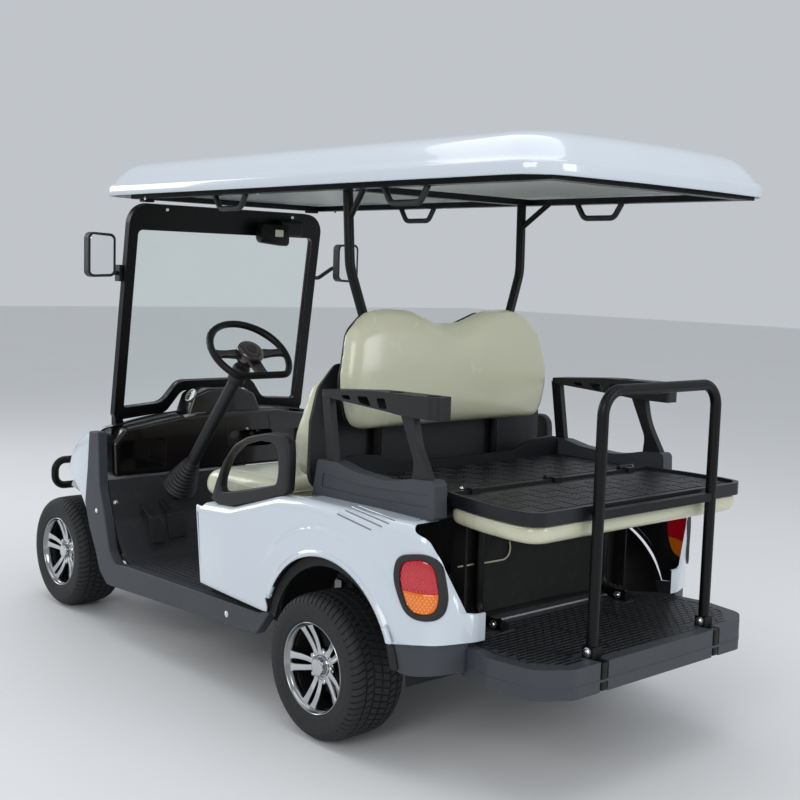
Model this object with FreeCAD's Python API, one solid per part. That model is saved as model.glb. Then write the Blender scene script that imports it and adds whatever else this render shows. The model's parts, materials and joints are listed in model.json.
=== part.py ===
import FreeCAD, Part
import os
from math import sin, cos, tan, radians, degrees, sqrt, atan2, pi

V = FreeCAD.Vector

# ---------------------------------------------------------------------------
# Two-plus-two golf cart, left-hand drive, at its real size in millimetres.
# Written with X forward from the rear axle, Y to the left and Z up from a
# base plane 22 mm below the ground; every piece is then moved by SHIFT, so that
# the origin is on the ground at the middle of the whole cart.
# ---------------------------------------------------------------------------
SHIFT = (-627.5, 0.0, -22.0)

WHEELBASE = 1670.0
AXLE_Z = 230.0
TYRE_R = 208.0
TYRE_W = 182.0
RIM_LIP_R = 131.0
BEAD_R = 123.0
TRACK_Y = {"front": 454.0, "rear": 505.0}        # middle plane of the wheels
KINGPIN_Y = 325.0
FRAME_BLACK_TUBE = 30.0

BODY_HALF = 585.0          # rear body, outer skin
BODY_SKIN = 5.0
ARCH_C = (-50.0, 262.0)
ARCH_R = 292.0

DECK_TOP = 751.0
HINGE_X, HINGE_Z = -335.0, 768.0
FLIP_REAR = -680.0

GRAB_X, GRAB_Y, GRAB_Z, GRAB_R = -704.0, 240.0, 1058.0, 15.0   # hoop behind the flip-over seat: plane, half width, top, tube

SEAT_HALF = 508.0
ARM_IN, ARM_OUT = 458.0, 502.0   # rear armrest base, inner and outer face
CUP_X = (-207.0, -350.0)          # round holders in the top of each rear armrest
CUP_R = 22.0
ROOF_HALF = 500.0
ROOF_LIP_Z = 1573.0
ROOF_TOP_Z = 1710.0
ROOF_FRONT, ROOF_REAR = 1470.0, -715.0

WS_LOW = (1473.0, 758.0)      # windshield foot, X and Z of the outer low corner
WS_LEAN = 8.6                 # degrees
WS_HALF = 430.0
WS_H = 806.0
WS_D = 30.0

WHEEL_C = (767.0, 290.0, 1050.0)   # steering wheel middle
COLUMN_FOOT = (1215.0, 290.0, 520.0)
WHEEL_RAD = 142.0
SEAT_HINGE = (610.0, 584.0)     # front cushion hinge line, X and Z

PARTS = {}


# ------------------------------------------------------------------ helpers
def put(name, shape):
    if shape.ShapeType == "Compound" and len(shape.Solids) == 1:
        shape = shape.Solids[0]
    PARTS[name] = shape


def box(x0, x1, y0, y1, z0, z1):
    return Part.makeBox(x1 - x0, y1 - y0, z1 - z0, V(x0, y0, z0))


def cyl(p, q, r):
    p, q = V(*p), V(*q)
    return Part.makeCylinder(r, (q - p).Length, p, q - p)


def cone(p, q, r1, r2):
    p, q = V(*p), V(*q)
    return Part.makeCone(r1, r2, (q - p).Length, p, q - p)


def fuse(*shapes):
    s = shapes[0]
    rest = list(shapes[1:])
    if rest:
        s = s.multiFuse(rest)
    return s.removeSplitter()


def group(*shapes):
    out = []
    for s in shapes:
        out += s.Solids
    return Part.makeCompound(out)


def mirror_y(s):
    return s.mirror(V(0, 0, 0), V(0, 1, 0))


def both(s):
    return group(s, mirror_y(s))


def place(u, v, plane, off):
    if plane == "XZ":
        return V(u, off, v)
    if plane == "XY":
        return V(u, v, off)
    return V(off, u, v)              # YZ


def outline(pts, plane="XZ", off=0.0):
    """Closed wire of lines and corner arcs; pts are (u, v, corner radius)."""
    n = len(pts)
    tang = []
    for i in range(n):
        a, b, c = pts[i - 1], pts[i], pts[(i + 1) % n]
        r = b[2] if len(b) > 2 else 0.0
        ax, ay = a[0] - b[0], a[1] - b[1]
        cx, cy = c[0] - b[0], c[1] - b[1]
        la, lc = sqrt(ax * ax + ay * ay), sqrt(cx * cx + cy * cy)
        ax, ay, cx, cy = ax / la, ay / la, cx / lc, cy / lc
        dot = max(-1.0, min(1.0, ax * cx + ay * cy))
        half = 0.5 * (pi - (pi - 0.0)) + 0.5 * atan2(sqrt(1 - dot * dot), dot)
        if r <= 0.01 or dot < -0.9999:
            tang.append((None, (b[0], b[1]), (b[0], b[1])))
            continue
        t = r / tan(half)
        t = min(t, 0.49 * la, 0.49 * lc)
        r = t * tan(half)
        p1 = (b[0] + ax * t, b[1] + ay * t)
        p2 = (b[0] + cx * t, b[1] + cy * t)
        mx, my = ax + cx, ay + cy
        ml = sqrt(mx * mx + my * my)
        d = r / sin(half)
        ctr = (b[0] + mx / ml * d, b[1] + my / ml * d)
        mid = (ctr[0] - mx / ml * r, ctr[1] - my / ml * r)
        tang.append((mid, p1, p2))
    edges = []
    for i in range(n):
        mid, p1, p2 = tang[i]
        nx = tang[(i + 1) % n][1]
        if mid is not None:
            edges.append(Part.Arc(place(p1[0], p1[1], plane, off), place(mid[0], mid[1], plane, off),
                                  place(p2[0], p2[1], plane, off)).toShape())
        a, b = place(p2[0], p2[1], plane, off), place(nx[0], nx[1], plane, off)
        if (a - b).Length > 1e-4:
            edges.append(Part.LineSegment(a, b).toShape())
    return Part.Wire(edges)


def slab(pts, plane, a, b):
    """A flat outline made thick, from a to b along the plane's normal."""
    f = Part.Face(outline(pts, plane, a))
    d = {"XZ": V(0, b - a, 0), "XY": V(0, 0, b - a), "YZ": V(b - a, 0, 0)}[plane]
    return f.extrude(d)


def ring(outer, inner, plane, a, b):
    return slab(outer, plane, a, b).cut(slab(inner, plane, a - 1, b + 1))


def path(pts, radii):
    """Open wire through pts, with tangent arcs of the given radii at the inner points."""
    P = [V(*p) for p in pts]
    edges = []
    last = P[0]
    for i in range(1, len(P) - 1):
        a = P[i - 1] - P[i]
        c = P[i + 1] - P[i]
        la, lc = a.Length, c.Length
        a.normalize()
        c.normalize()
        ang = a.getAngle(c) / 2.0
        r = radii[i - 1] if isinstance(radii, (list, tuple)) else radii
        t = min(r / tan(ang), 0.49 * la, 0.49 * lc)
        r = t * tan(ang)
        p1, p2 = P[i] + a * t, P[i] + c * t
        m = a + c
        m.normalize()
        mid = P[i] + m * (r / sin(ang) - r)
        if (p1 - last).Length > 1e-4:
            edges.append(Part.LineSegment(last, p1).toShape())
        edges.append(Part.Arc(p1, mid, p2).toShape())
        last = p2
    edges.append(Part.LineSegment(last, P[-1]).toShape())
    return Part.Wire(edges)


def tube(pts, r, radii=60.0):
    """Round bar along a route of straight runs and arcs."""
    w = path(pts, radii) if len(pts) > 2 else Part.Wire([Part.LineSegment(V(*pts[0]), V(*pts[1])).toShape()])
    d = (V(*pts[1]) - V(*pts[0]))
    prof = Part.Wire([Part.makeCircle(r, V(*pts[0]), d)])
    s = w.makePipeShell([prof], True, True)
    return s if s.Volume > 0 else s.reversed()


def bar(p, q, w, h, up=(0, 0, 1)):
    """Rectangular bar from p to q, w across and h along the side that looks up."""
    p, q = V(*p), V(*q)
    d = q - p
    n = V(d)
    n.normalize()
    side = V(*up).cross(n)
    side.normalize()
    top = n.cross(side)
    c = [p + side * (a * w / 2) + top * (b * h / 2) for a, b in ((1, 1), (-1, 1), (-1, -1), (1, -1))]
    return Part.Face(Part.makePolygon(c + [c[0]])).extrude(d)


def revolve_y(pts, cx, cz, y0, sgn):
    """Turn a closed profile about the axle line; pts are (out along the axle, radius)."""
    P = [V(cx, y0 + sgn * a, cz + r) for a, r in pts]
    return Part.Face(Part.makePolygon(P + [P[0]])).revolve(V(cx, y0, cz), V(0, 1, 0), 360)


def loft(wires, ruled=False):
    s = Part.makeLoft(wires, True, ruled)
    return s if s.Volume > 0 else s.reversed()


def soft(s, r, pick=None):
    """Round the chosen edges, with smaller radii if the first doesn't take."""
    edges = [e for e in s.Edges if pick is None or pick(e)]
    for k in (1.0, 0.8, 0.6, 0.4, 0.2):
        try:
            t = s.makeFillet(r * k, edges)
            if t.isValid() and t.Volume > 0:
                return t
        except Exception:
            pass
    print("no fillet", r)
    return s


def turned(s, base, axis, deg):
    t = s.copy()
    t.rotate(V(*base), V(*axis), deg)
    return t


# ------------------------------------------------------------------- wheels
# tyre section, half: (out from the middle plane, radius)
TW = TYRE_W / 2
TYRE_OUT = [(TW - 18, BEAD_R), (TW - 14.2, 131.2), (TW - 6, 131.4), (TW - 4, 136), (TW - 1, 152), (TW, 170), (TW - 5, 187), (TW - 16, 198), (TW - 40, 205.5), (0, TYRE_R)]
TYRE_IN = [(TW - 30, BEAD_R), (TW - 20, 142), (TW - 14, 158), (TW - 14, 170), (TW - 20, 181), (TW - 29, 188), (TW - 52, 194), (0, 196)]


def tyre(cx, cy):
    pts = TYRE_OUT + [(-a, r) for a, r in reversed(TYRE_OUT[:-1])]
    inner = TYRE_IN + [(-a, r) for a, r in reversed(TYRE_IN[:-1])]
    return revolve_y(pts + inner[::-1], cx, AXLE_Z, cy, 1)


# rim: barrel with lips, dished disc set in from the outer lip, hub
LIP = TYRE_W / 2 - 5       # outer lip plane, out from the middle plane
DISH = 40.0                # depth of the spokes' hub below the lip plane


def rim(cx, cy, sgn):
    barrel = revolve_y([(LIP, RIM_LIP_R), (LIP, 126), (LIP - 13, 116), (-LIP + 11, 116), (-LIP + 3, 125), (-LIP + 3, RIM_LIP_R),
                        (-LIP + 10, RIM_LIP_R - 2), (-LIP + 12.8, BEAD_R - 0.2), (LIP - 12.8, BEAD_R - 0.2), (LIP - 9, RIM_LIP_R)], cx, AXLE_Z, cy, sgn)
    disc = revolve_y([(LIP - 13, 117.5), (LIP - 21, 117.5), (LIP - 38, 92), (LIP - DISH - 22, 60), (LIP - DISH - 26, 32.5), (LIP - DISH, 32.5),
                      (LIP - DISH + 2, 60), (LIP - 27, 92)], cx, AXLE_Z, cy, sgn)
    cuts = []
    for i in range(5):
        a = 90 + i * 72
        # wide window between the spoke pairs and narrow slot inside each pair
        for lo, hi, half0, half1, turn in ((54, 108, 9, 31, 36), (50, 107, 4.5, 8, 0)):
            w = [(lo, -half0, 4), (hi, -half1, 6), (hi, half1, 6), (lo, half0, 4)]
            s = slab([(cx + u, AXLE_Z + v, r) for u, v, r in w], "XZ", cy - 130, cy + 130)
            s.rotate(V(cx, 0, AXLE_Z), V(0, 1, 0), a + turn)
            cuts.append(s)
    disc = disc.cut(Part.makeCompound(cuts))
    cap = revolve_y([(LIP - DISH - 26, 0), (LIP - DISH - 26, 33), (LIP - DISH + 6, 33), (LIP - DISH + 10, 28),
                     (LIP - DISH + 10, 0)], cx, AXLE_Z, cy, sgn)
    return fuse(barrel, disc, cap)


WHEELS = (("front_left", WHEELBASE, "front", 1), ("front_right", WHEELBASE, "front", -1),
          ("rear_left", 0.0, "rear", 1), ("rear_right", 0.0, "rear", -1))
for name, x, end, sgn in WHEELS:
    y = sgn * TRACK_Y[end]
    put("tyre_" + name, tyre(x, y))
    put("rim_" + name, rim(x, y, sgn))

# --------------------------------------------------- chassis, axles, steering
RAIL = [(-332, 338, 0), (205, 338, 40), (395, 215, 40), (1180, 215, 0), (1180, 275, 0), (425, 275, 40), (235, 398, 40), (-332, 398, 0)]
rails = both(slab(RAIL, "XZ", 210, 250))
front_rails = both(slab([(1140, 215, 0), (1240, 215, 30), (1330, 288, 30), (1860, 288, 0), (1860, 340, 0), (1300, 340, 30),
                         (1215, 275, 30), (1140, 275, 0)], "XZ", 150, 190))
cross = []
# cross members: X from, X to, half width, Z from, Z to
for x0, x1, w, z0, z1 in ((-332, -292, 250, 338, 398), (78, 118, 250, 338, 398), (440, 480, 250, 215, 275), (700, 740, 530, 225, 265),
                          (1140, 1180, 530, 225, 265), (1820, 1860, 190, 288, 340), (1400, 1440, 190, 288, 340)):
    cross.append(box(x0, x1, -w, w, z0, z1))
cross.append(box(180, 590, -212, 212, 271, 275))          # shelf under the battery
put("chassis_frame", fuse(*(rails.Solids + front_rails.Solids + cross)))

# leaf springs: packs beside the rails, over the rear axle
springs = []
for cx, y, half, z_eye, z_mid in ((0.0, 300.0, 300.0, 300.0, 262.0),):
    top = [(cx - half, z_eye, 0), (cx - 120, z_mid + 14, 200), (cx + 120, z_mid + 14, 200), (cx + half, z_eye, 0),
           (cx + half, z_eye - 14, 0), (cx + 120, z_mid, 200), (cx - 120, z_mid, 200), (cx - half, z_eye - 14, 0)]
    leaf = slab(top, "XZ", y - 25, y + 25)
    pack = fuse(leaf, box(cx - 130, cx + 130, y - 25, y + 25, z_mid + 14, z_mid + 24), box(cx - 26, cx + 26, y - 30, y + 30, z_mid + 24, z_mid + 34))
    springs += both(pack).Solids
for x in (-300.0, 300.0):
    h = both(fuse(cyl((x, 252, 293), (x, 330, 293), 9), box(x - 16, x + 16, 250.2, 262, 284, 372)))
    springs = [s.cut(Part.makeCompound(h.Solids)) for s in springs]
    springs += h.Solids
put("leaf_springs", Part.makeCompound(springs))

# front beam axle with its kingpin bosses and coil-over struts to the rails
beam = bar((WHEELBASE, -KINGPIN_Y + 16, AXLE_Z), (WHEELBASE, KINGPIN_Y - 16, AXLE_Z), 44, 44)
boss = both(cyl((WHEELBASE, KINGPIN_Y, AXLE_Z - 30), (WHEELBASE, KINGPIN_Y, AXLE_Z + 30), 22))
bores = both(cyl((WHEELBASE, KINGPIN_Y, AXLE_Z - 40), (WHEELBASE, KINGPIN_Y, AXLE_Z + 40), 12.05))
posts = both(box(WHEELBASE - 22, WHEELBASE + 22, 152, 188, AXLE_Z + 10, 288))
put("front_axle", fuse(beam, *(boss.Solids + posts.Solids)).cut(Part.makeCompound(bores.Solids)))

# knuckle: clevis round the beam's boss, kingpin, stub axle and steering arm
def knuckle():
    y = KINGPIN_Y
    pin = cyl((WHEELBASE, y, AXLE_Z - 44), (WHEELBASE, y, AXLE_Z + 44), 12)
    lo = box(WHEELBASE - 22, WHEELBASE + 22, y - 22, y + 34, AXLE_Z - 46, AXLE_Z - 31)
    hi = box(WHEELBASE - 22, WHEELBASE + 22, y - 22, y + 34, AXLE_Z + 31, AXLE_Z + 46)
    back = box(WHEELBASE - 22, WHEELBASE + 22, y + 24, y + 38, AXLE_Z - 46, AXLE_Z + 46)
    stub = cyl((WHEELBASE, y + 30, AXLE_Z), (WHEELBASE, TRACK_Y["front"] + 28, AXLE_Z), 14.95)
    arm = slab([(WHEELBASE - 20, y - 18, 4), (WHEELBASE - 20, y + 20, 4), (WHEELBASE - 128, y - 14, 10), (WHEELBASE - 128, y - 44, 10)], "XY",
               AXLE_Z - 46, AXLE_Z - 34)
    return fuse(pin, lo, hi, back, stub, arm)


put("knuckle_left", knuckle())
put("knuckle_right", mirror_y(knuckle()))

# rear axle: tube, differential housing and ends
axle = [cyl((0, -TRACK_Y["rear"] + 40, AXLE_Z), (0, TRACK_Y["rear"] - 40, AXLE_Z), 30),
        cyl((0, -TRACK_Y["rear"] - 28, AXLE_Z), (0, TRACK_Y["rear"] + 28, AXLE_Z), 14.95),
        soft(box(-95, 95, -95, 40, 150, 320), 30), ]
pads = both(box(-40, 40, 268, 332, AXLE_Z, 262))
put("rear_axle", fuse(*(axle + pads.Solids)))
put("drive_motor", cyl((0, 40, AXLE_Z + 5), (0, 235, AXLE_Z + 5), 88).cut(cyl((0, 30, AXLE_Z), (0, 245, AXLE_Z), 30)))

# hub bores: each rim turns on its stub
for name, x, end, sgn in WHEELS:
    y = sgn * TRACK_Y[end]
    PARTS["rim_" + name] = fuse(PARTS["rim_" + name], cyl((x, y - sgn * 40, AXLE_Z), (x, y + sgn * 36, AXLE_Z), 34)).cut(
        cyl((x, y - sgn * 60, AXLE_Z), (x, y + sgn * 29, AXLE_Z), 15.0))

# battery pack, one block on the floor of the seat tub
put("battery_pack", soft(box(184, 586, -206, 206, 275, 540), 12))

# -------------------------------------------------------------- floor, seats
FLOOR = [(590, 279, 0), (1150, 279, 40), (1262, 416, 40), (1300, 560, 0), (1285, 564, 0), (1246, 424, 40), (1142, 294, 40), (590, 294, 0)]
put("floorboard", slab(FLOOR, "XZ", -533, 533))

# rocker panels with the front pillar trims, one solid a side
ROCKER = [(1184, 203, 10), (300, 250, 10), (224, 340, 6), (289, 319, 0), (1069, 296, 60), (1161, 287, 30), (1204, 324, 60), (1236, 427, 100),
          (1280, 545, 60), (1292, 738, 8), (1359, 735, 8), (1372, 600, 60), (1390, 470, 20), (1355, 386, 40), (1309, 310, 60),
          (1278, 243, 50), (1223, 203, 20)]
rocker = slab(ROCKER, "XZ", 536, 572)
put("rocker_panels", both(rocker))

# seat base: open tub that carries the front cushion and closes the battery bay
tub = box(120, 604, -530, 530, 296, 588).cut(box(128, 592, -522, 522, 290, 576))
tub = tub.cut(box(100, 700, -600, 600, 200, 296)).cut(box(118, 130, -252, 252, 290, 400))
for s in (1, -1):
    tub = tub.cut(Part.makeCylinder(ARCH_R, 240, V(ARCH_C[0], 347 if s > 0 else -587, ARCH_C[1]), V(0, 1, 0)))
board = slab([(300, -498, 20), (694, -498, 40), (694, 498, 40), (300, 498, 20)], "XY", 592, 599.5)
hx, hz = SEAT_HINGE
for y in (-250.0, 250.0):
    ears = [fuse(cyl((hx, a, hz), (hx, b, hz), 5.5), box(hx - 8, hx, a, b, hz - 5, hz + 2)) for a, b in ((y - 34, y - 14.5), (y + 14.5, y + 34))]
    tub = fuse(tub, cyl((hx, y - 34, hz), (hx, y + 34, hz), 3.5), *ears)
    leaf = fuse(cyl((hx, y - 14, hz), (hx, y + 14, hz), 5.5), box(hx - 2, hx + 34, y - 14, y + 14, hz + 4, 592.5)).cut(
        cyl((hx, y - 20, hz), (hx, y + 20, hz), 3.56))
    board = fuse(board, leaf)
put("seat_base", tub)
put("seat_board", board)

# front cushion
cush = slab([(286, 599.5, 12), (700, 599.5, 18), (716, 640, 40), (690, 690, 45), (290, 704, 25)], "XZ", -SEAT_HALF, SEAT_HALF)
put("seat_cushion", soft(cush, 30, lambda e: abs(e.BoundBox.YMax - e.BoundBox.YMin) < 1))

# the two rear roof struts, also used to relieve the backs that they pass
def strut(s, r):
    return tube([(171, s * 367, 1575), (161, s * 360, 1345), (148, s * 250, 1040), (148, s * 250, 716)], r, [160, 160])


strut_room = [strut(1, 16), strut(-1, 16)]

# backrests. Front one looks forward, rear one looks back; a black shell holds each.
FRONT_BACK = [(182, 724, 20), (266, 724, 30), (256, 800, 40), (222, 1000, 60), (196, 1062, 25), (172, 1060, 15)]
fb = slab(FRONT_BACK, "XZ", -490, 490)
fb_face = slab([(-470, 720, 60), (-490, 850, 90), (-455, 990, 60), (-390, 1064, 60), (390, 1064, 60), (455, 990, 60), (490, 850, 90), (470, 720, 60)],
               "YZ", 100, 300)
fb = fb.common(fb_face)
put("front_seat_back", fb)

RB_FACE = [(-395, 878, 45), (-428, 1010, 120), (-392, 1160, 70), (-330, 1212, 60), (-251, 1226, 60), (-155, 1220, 70), (-48, 1184, 80), (48, 1184, 80), (155, 1220, 70),
           (251, 1226, 60), (330, 1212, 60), (392, 1160, 70), (428, 1010, 120), (395, 878, 45)]
rb = slab([(54, 870, 25), (80, 1020, 200), (118, 1200, 40), (134, 1230, 10), (146, 1230, 8), (124, 1060, 60), (118, 870, 10)], "XZ", -440, 440)
rb = rb.common(slab(RB_FACE, "YZ", 0, 200)).cut(Part.makeCompound(strut_room))
put("rear_seat_back", rb)

# shells between the cushions: two plates with a bridge each side, clear of the roof struts
def shrink(pts, cy, cz, k):
    return [(cy + (u - cy) * k, cz + (v - cz) * k, r) for u, v, r in pts]


rear_shell = slab([(118.2, 872, 0), (124.2, 1060, 60), (144, 1214, 0), (150, 1212, 0), (131, 1060, 60), (129, 872, 0)], "XZ", -440, 440)
rear_shell = rear_shell.common(slab(shrink(RB_FACE, 0, 1040, 0.99), "YZ", 0, 250))
front_shell = slab([(168, 700, 0), (181.8, 700, 0), (181.8, 724, 0), (171.8, 1060, 0), (164, 1064, 0)], "XZ", -485, 485)
front_shell = front_shell.common(slab([(-478, 690, 60), (-496, 850, 90), (-462, 995, 60), (-395, 1070, 60), (395, 1070, 60), (462, 995, 60),
                                       (496, 850, 90), (478, 690, 60)], "YZ", 100, 300))
put("seat_back_shells", group(rear_shell.cut(Part.makeCompound(strut_room)), front_shell.cut(Part.makeCompound(strut_room))))

# hip restraints beside the front cushion
HIP_OUT = [(572, 604, 18), (545, 668, 60), (508, 738, 60), (446, 803, 70), (372, 836, 70), (274, 858, 60), (190, 862, 28), (166, 838, 24),
           (163, 784, 40), (168, 694, 10), (300, 652, 60), (470, 606, 30)]
HIP_IN = [(520, 645, 14), (512, 695, 50), (472, 761, 60), (410, 805, 60), (324, 829, 50), (244, 832, 16), (222, 816, 16), (217, 756, 40),
          (225, 712, 16), (371, 676, 60), (460, 655, 40)]

# ----------------------------------------------------------------- rear body
# side profile of the white shell: X, Z, corner radius
SIDE = [(607, 332, 6), (642, 604, 10), (600, 600, 20), (440, 611, 200), (200, 684, 200), (77, 697, 120), (-180, 702, 300), (-350, 702, 40), (-412, 676, 50),
        (-436, 612, 80), (-463, 474, 0), (-490, 463, 0), (-490, 398, 0), (-404, 393, 60), (-320, 380, 60), (240, 380, 6), (224, 340, 0), (289, 322, 0)]
PLAN = [(660, -BODY_HALF, 0), (-250, -BODY_HALF, 300), (-430, -555, 90), (-478, -430, 60), (-478, 430, 60), (-430, 555, 90),
        (-250, BODY_HALF, 300), (660, BODY_HALF, 0)]


def rear_solid(k):
    """Outer solid (k = 0), or the same drawn in by the skin's thickness."""
    cx, cz = 90.0, 500.0
    side = []
    for x, z, r in SIDE:
        side.append((x, z, max(0.0, r)))
    s = slab(side, "XZ", -600, 600)
    p = slab([(u - (k if u > 0 else -k), v - (k if v > 0 else -k), r) for u, v, r in PLAN], "XY", 300, 760)
    return s.common(p)


outer = rear_solid(0.0)
top_edges = lambda e: (e.BoundBox.ZMin > 585 and abs(abs(e.CenterOfMass.y) - BODY_HALF) < 40 and e.BoundBox.XMax - e.BoundBox.XMin > 20
                       and e.BoundBox.YMax - e.BoundBox.YMin < 120)
outer = soft(outer, 30, top_edges)
# hollow below the skin; open at the tail, the cabin side and underneath
SIDE_IN = [(700, 150, 0), (700, 599, 0), (600, 595, 15), (440, 606, 195), (200, 679, 195), (77, 692, 115), (-180, 697, 295), (-600, 697, 0), (-600, 150, 0)]
PLAN_IN = [(u + (BODY_SKIN if u < 0 else 60), v - (BODY_SKIN if v > 0 else -BODY_SKIN), max(r - BODY_SKIN, 0)) for u, v, r in PLAN]
inner = slab(SIDE_IN, "XZ", -600, 600).common(slab(PLAN_IN, "XY", 200, 760))
inner = soft(inner, 25, lambda e: (e.BoundBox.ZMin > 580 and abs(abs(e.CenterOfMass.y) - BODY_HALF) < 48 and e.BoundBox.XMax - e.BoundBox.XMin > 20
                                   and e.BoundBox.YMax - e.BoundBox.YMin < 120))
hip = max(ring(HIP_OUT, HIP_IN, "XZ", 532, 564).cut(outer).Solids, key=lambda q: q.Volume)
put("hip_restraints", both(hip))
rear = outer.cut(inner)
rear = rear.cut(box(-600, 640, -396, 396, 300, 640))                     # open rear middle
rear = rear.cut(box(105, 700, -531, 531, 200, 900))                      # cushion and battery bay
rear = rear.cut(slab([(590, 200, 0), (700, 200, 0), (700, 700, 0), (590, 700, 0)], "XZ", -578, 578))
for s in (1, -1):
    rear = rear.cut(Part.makeCylinder(ARCH_R, 320, V(ARCH_C[0], 300 if s > 0 else -620, ARCH_C[1]), V(0, 1, 0)))
rear = rear.cut(box(-330, 106, -480, 480, 600, 760))
rear = rear.cut(box(-520, -325, -462, 462, 672, 760))                    # room for the cushion under the flip-over panel
lip = []
arch_lip = Part.makeCylinder(ARCH_R + 14, 12, V(ARCH_C[0], BODY_HALF - 9, ARCH_C[1]), V(0, 1, 0)).cut(
    Part.makeCylinder(ARCH_R, 30, V(ARCH_C[0], BODY_HALF - 20, ARCH_C[1]), V(0, 1, 0))).common(box(-330, 228, 400, 700, 384, 700))
rear = fuse(rear, arch_lip, mirror_y(arch_lip))
put("rear_body", rear)

# wheel-side inner walls and rear bulkhead, black, one piece between the arches
bulk = fuse(box(-300, -290, -345, 345, 400, 690), box(-345, -290, 338, 345, 400, 672), box(-345, -290, -345, -338, 400, 672))
put("rear_bulkhead", bulk)

# black liners over the rear wheels
liner = Part.makeCylinder(ARCH_R - 2, 216, V(ARCH_C[0], 356, ARCH_C[1]), V(0, 1, 0)).cut(
    Part.makeCylinder(ARCH_R - 6, 245, V(ARCH_C[0], 337, ARCH_C[1]), V(0, 1, 0))).common(box(-345, 245, 340, 580, 262, 560))
liner = liner.cut(box(180, 300, 533, 600, 200, 420)).cut(box(-360, -290, 540, 600, 200, 420))
put("wheel_liners", both(liner))

# dark corner pieces below the white tail
tail_plan = Part.Face(outline(PLAN, "XY", 290))
trim = tail_plan.makeOffset2D(-6).extrude(V(0, 0, 130)).cut(tail_plan.makeOffset2D(-24).extrude(V(0, 0, 130)))
trim = trim.common(slab([(-304, 410, 0), (-322, 304, 34), (-370, 304, 60), (-462, 318, 0), (-462, 410, 0)], "XZ", 440, 700)).cut(outer)

# taillights follow the rounded tail corners; outline is along the chord, then up
LAMP = [(-66, 612, 22), (20, 628, 30), (54, 612, 24), (72, 520, 20), (66, 466, 22), (10, 460, 30), (-36, 470, 30), (-73, 552, 30)]


def lamp():
    s = slab(LAMP, "YZ", -70, 40)
    s.rotate(V(0, 0, 0), V(0, 0, 1), 116.9)
    s.translate(V(-385, 541, 0))
    return s.common(tail_plan.makeOffset2D(4).extrude(V(0, 0, 400))).cut(tail_plan.makeOffset2D(-26).extrude(V(0, 0, 400)))


lamp_l = lamp()
lamps = both(lamp_l)
PARTS["rear_body"] = PARTS["rear_body"].cut(Part.makeCompound(lamps.Solids))
put("taillights", lamps)

# -------------------------------------------- deck, armrests and flip-over seat
tray = slab([(56, -456, 0), (-329, -456, 10), (-329, 456, 10), (56, 456, 0)], "XY", 724, DECK_TOP)
wall = slab([(-456, 740, 0), (-456, 813, 30), (-330, 806, 200), (-230, 776, 60), (230, 776, 60), (330, 806, 200), (456, 813, 30), (456, 740, 0)], "YZ", 46, 56)
tray = fuse(tray, wall)
tray = fuse(tray, box(-329, 40, -455, 455, 716, 724).cut(box(-317, 28, -440, 440, 700, 730)))

# armrest: base rail, two raked posts, and the arm with its side windows and round holders
WINDOWS = ([(-5, 994, 3), (-41, 996, 3), (-52, 983, 3), (-20, 985, 3)], [(-74, 997, 4), (-119, 1000, 4), (-139, 974, 4), (-92, 980, 4)],
           [(-157, 1000, 4), (-192, 1002, 4), (-203, 974, 4), (-171, 974, 4)])


def armrest():
    """Left one, from its base up."""
    base = slab([(134, 676, 0), (109, 799, 14), (22, 801, 14), (-50, 787, 90), (-193, 778, 300), (-290, 800, 60), (-380, 807, 16), (-385, 705, 10),
                 (-300, 699, 30)], "XZ", ARM_IN, ARM_OUT).cut(outer)
    base = base.cut(slab([(88, 722, 6), (82, 764, 6), (-98, 752, 20), (-358, 768, 6), (-364, 734, 6), (-98, 722, 20)], "XZ", ARM_OUT - 3, ARM_OUT + 5))
    front = slab([(73, 795, 0), (36, 795, 0), (66, 975, 0), (104, 988, 0)], "XZ", 476, 496)
    back = slab([(-288, 795, 0), (-362, 795, 0), (-302, 893, 200), (-286, 968, 0), (-231, 972, 0), (-293, 846, 60)], "XZ", 474, 496)
    arm = slab([(90, 984, 6), (85, 1001, 12), (-140, 1018, 300), (-389, 1023, 3), (-389, 963, 3), (-262, 963, 30), (-200, 968, 30), (25, 980, 60)],
               "XZ", 455, 516)
    arm = arm.common(slab([(-389, 455, 10), (90, 455, 16), (90, 516, 22), (-389, 516, 28)], "XY", 950, 1040))
    s = fuse(base, front, back, arm)
    for x in CUP_X:
        s = s.cut(cyl((x, 485, 980), (x, 485, 1060), CUP_R))
    for w in WINDOWS:
        s = s.cut(slab(w, "XZ", 400, 560))
    return s


arm_l = armrest()
put("armrest_left", arm_l)
put("armrest_right", mirror_y(arm_l))

PLATE = [(-341, 418, 4), (-341, -418, 4), (-480, -444, 300), (-600, -451, 120), (-662, -441, 50), (FLIP_REAR, -408, 40),
         (FLIP_REAR, 408, 40), (-662, 441, 50), (-600, 451, 120), (-480, 444, 300)]


def drawn_in(pts, k, front):
    return [((u + k) if u < front else u - k, v - (k if v > 0 else -k), r) for u, v, r in pts]


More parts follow.
